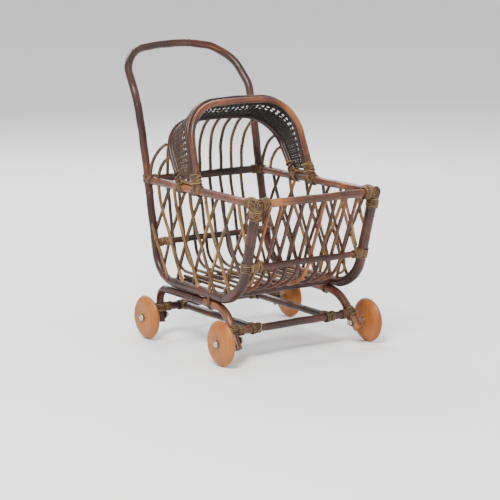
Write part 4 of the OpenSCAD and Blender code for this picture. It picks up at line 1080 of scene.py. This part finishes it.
def hoop_feet(name, node, first, second, d1, d2, before, after, up, seed0, tone):
    """Windings that tie a pair of hoop feet to the side rims."""
    shape = Shape()
    for side, more in SIDES:
        seed = seed0 + more
        flip = vec(-side, 1, 1)
        a1, b1, a2, b2 = (p * flip for p in (first[0], first[1], second[0], second[1]))
        low = RIM_D / 2
        winding(shape, a1 - vec(0, before, 0), a2 + vec(0, after, 0), RIM_D / 2 + 0.3, seed, tone=tone)
        way = unit((b1 - a1) + (b2 - a2))
        foot = (a1 + a2) / 2
        gap = abs(a2[1] - a1[1]) * math.cos(math.asin(way[1]))
        r = (d1 + d2) / 4 + 0.5
        loop = pair_loop(r, gap)
        winding(shape, foot + way * (low + 1), foot + way * up, r + gap / 2, seed + 1, tone=tone, loop=loop,
                first=vec(0, 1, 0), around=30)
        wide = pair_loop(r + 1.0, gap)
        for k, slope in enumerate((0.9, -0.9, 0.7, -0.7)):
            strand_ring(shape, foot + way * (low + 4 + 4.5 * k), way, r + 1, slope * 0.8, math.pi / 2 + k,
                        seed + 3 + k, loop=wide, first=vec(0, 1, 0), tone=tone + 0.1)
        for k, slope in enumerate((1.1, -1.1, 0.8, -0.8)):
            strand_ring(shape, foot + vec(0, -3 + 2 * k, 0), vec(0, 1, 0), RIM_D / 2 + 1.6, slope, 0.3,
                        seed + 9 + k, tone=tone + 0.1)
    make(name, shape, binding_cane, [node])


hoop_feet("foot_winding_front", "front_hoop_bindings", front_hoop, second_hoop, HOOP_D, SECOND_D,
          before=9, after=4, up=31, seed0=2200, tone=0.5)
hoop_feet("foot_winding_rear", "rear_hoop_bindings", inner_hoop, rear_hoop, INNER_D, REAR_HOOP_D,
          before=3, after=5, up=14, seed0=2300, tone=0.3)

shape = Shape()
for side, more in SIDES:
    seed = 2400 + more
    for k, y in enumerate((FRONT_MID_Y, REAR_MID_Y)):
        a = vec(side * (HALF_W - 1), y, MID_Z)
        winding(shape, a, a - vec(side * 25, 0, 0), MID_D / 2 + 0.3, seed + k, tone=0.6 if side > 0 else 0.75)
        for m, slope in enumerate((0.8, -0.8)):
            strand_ring(shape, a - vec(side * 12, 0, 0), vec(1, 0, 0), MID_D / 2 + 1.4, slope, 0.4 + m,
                        seed + 5 + m + 3 * k, tone=0.7)
    post = post_point(side, -(RIM_H - MID_Z))
    winding(shape, post + post_dir * 9, post - post_dir * 9, SILL_D / 2 + 0.2, seed + 20, tone=0.45)
make("rail_winding", shape, binding_cane, ["mid_rail_bindings"])

shape = Shape()
low, high = corners("sill_bindings")
mid_z = (SILL_Z + ARCH_Z) / 2
r = (SILL_D + ARCH_FRONT_D) / 4 + 0.3
for side, more in SIDES:
    winding(shape, vec(side * HALF_W, low[1], mid_z), vec(side * HALF_W, high[1], mid_z), r + 8, 2500 + more,
            loop=pair_loop(r, SILL_Z - ARCH_Z), first=vec(0, 0, 1), around=34, tone=0.5)
make("sill_winding", shape, binding_cane, ["sill_bindings"])

shape = Shape()
for side, more in SIDES:
    for rear, rod, d in ((False, FRONT_ROD, ARCH_FRONT_D), (True, REAR_ROD, ARCH_REAR_D)):
        seed = 2600 + more + 50 * rear
        z = rod[2]
        top = 6 if rear else 10
        winding(shape, leg(side, rear, z - 6), leg(side, rear, z + top), d / 2 + 0.3, seed, tone=0.35)
        meet = leg(side, rear, z)
        winding(shape, meet - vec(side * 7, 0, 0), meet - vec(side * 22, 0, 0), ROD_D / 2 + 0.3, seed + 1,
                tone=0.4)
        for k, slope in enumerate((0.9, -0.9)):
            strand_ring(shape, meet, leg(side, rear, z + 10) - meet, d / 2 + 1.5, slope, 0.7 + 2 * k,
                        seed + 3 + k, tone=0.5)
make("axle_winding", shape, binding_cane, ["axle_bindings"])

shape = Shape()
for side, more in SIDES:
    for k, (rod, way) in enumerate(((FRONT_ROD, 1), (REAR_ROD, -1))):
        seed = 2700 + more + 20 * k
        at = vec(side * STRETCHER_X, rod[1], rod[2])
        winding(shape, at - vec(9, 0, 0), at + vec(9, 0, 0), ROD_D / 2 + 0.3, seed, tone=0.45)
        winding(shape, at + vec(0, way * 7, 0), at + vec(0, way * 18, 0), STRETCHER_D / 2 + 0.3, seed + 1,
                tone=0.45)
        for m, slope in enumerate((1.0, -1.0)):
            strand_ring(shape, at, vec(1, 0, 0), ROD_D / 2 + 1.5, slope, 0.5 + 2 * m, seed + 3 + m, tone=0.55)
make("stretcher_winding", shape, binding_cane, ["stretcher_bindings"])

# ---- Floor and light ----

floor_mesh = bpy.data.meshes.new("floor")
FLOOR = 30  # half its side, in metres
floor_mesh.from_pydata([(-FLOOR, -FLOOR, 0), (FLOOR, -FLOOR, 0), (FLOOR, FLOOR, 0), (-FLOOR, FLOOR, 0)], [],
                       [(0, 1, 2, 3)])
floor = bpy.data.objects.new("floor", floor_mesh)
floor_graph = Graph("floor")
floor_graph.shader.inputs["Base Color"].default_value = (0.93, 0.93, 0.93, 1)
floor_graph.shader.inputs["Roughness"].default_value = 0.9
floor_graph.shader.inputs["Specular IOR Level"].default_value = 0.1
floor_mesh.materials.append(floor_graph.material)
bpy.context.scene.collection.objects.link(floor)

world = bpy.data.worlds.new("studio")
bpy.context.scene.world = world
world.use_nodes = True
background = world.node_tree.nodes["Background"]
background.inputs["Color"].default_value = (1.0, 1.0, 1.0, 1)
background.inputs["Strength"].default_value = 0.95


def area_light(name, place, aim, size, power, colour=(1, 1, 1)):
    """An area light; place, aim and size in metres, power in watts."""
    data = bpy.data.lights.new(name, "AREA")
    data.shape = "RECTANGLE"
    data.size, data.size_y = size
    data.energy = power
    data.color = colour
    lamp = bpy.data.objects.new(name, data)
    lamp.location = place
    lamp.rotation_euler = (Vector(aim) - Vector(place)).to_track_quat("-Z", "Y").to_euler()
    bpy.context.scene.collection.objects.link(lamp)


area_light("key", (-1.6, -1.2, 2.6), (0, 0, 0.25), (1.1, 1.1), 135, (1.0, 0.985, 0.96))
area_light("fill", (2.2, -1.8, 1.4), (0, 0, 0.25), (2.0, 1.6), 14, (0.97, 0.98, 1.0))
area_light("rim", (0.6, 2.2, 2.0), (0, 0, 0.3), (2.0, 1.0), 70)
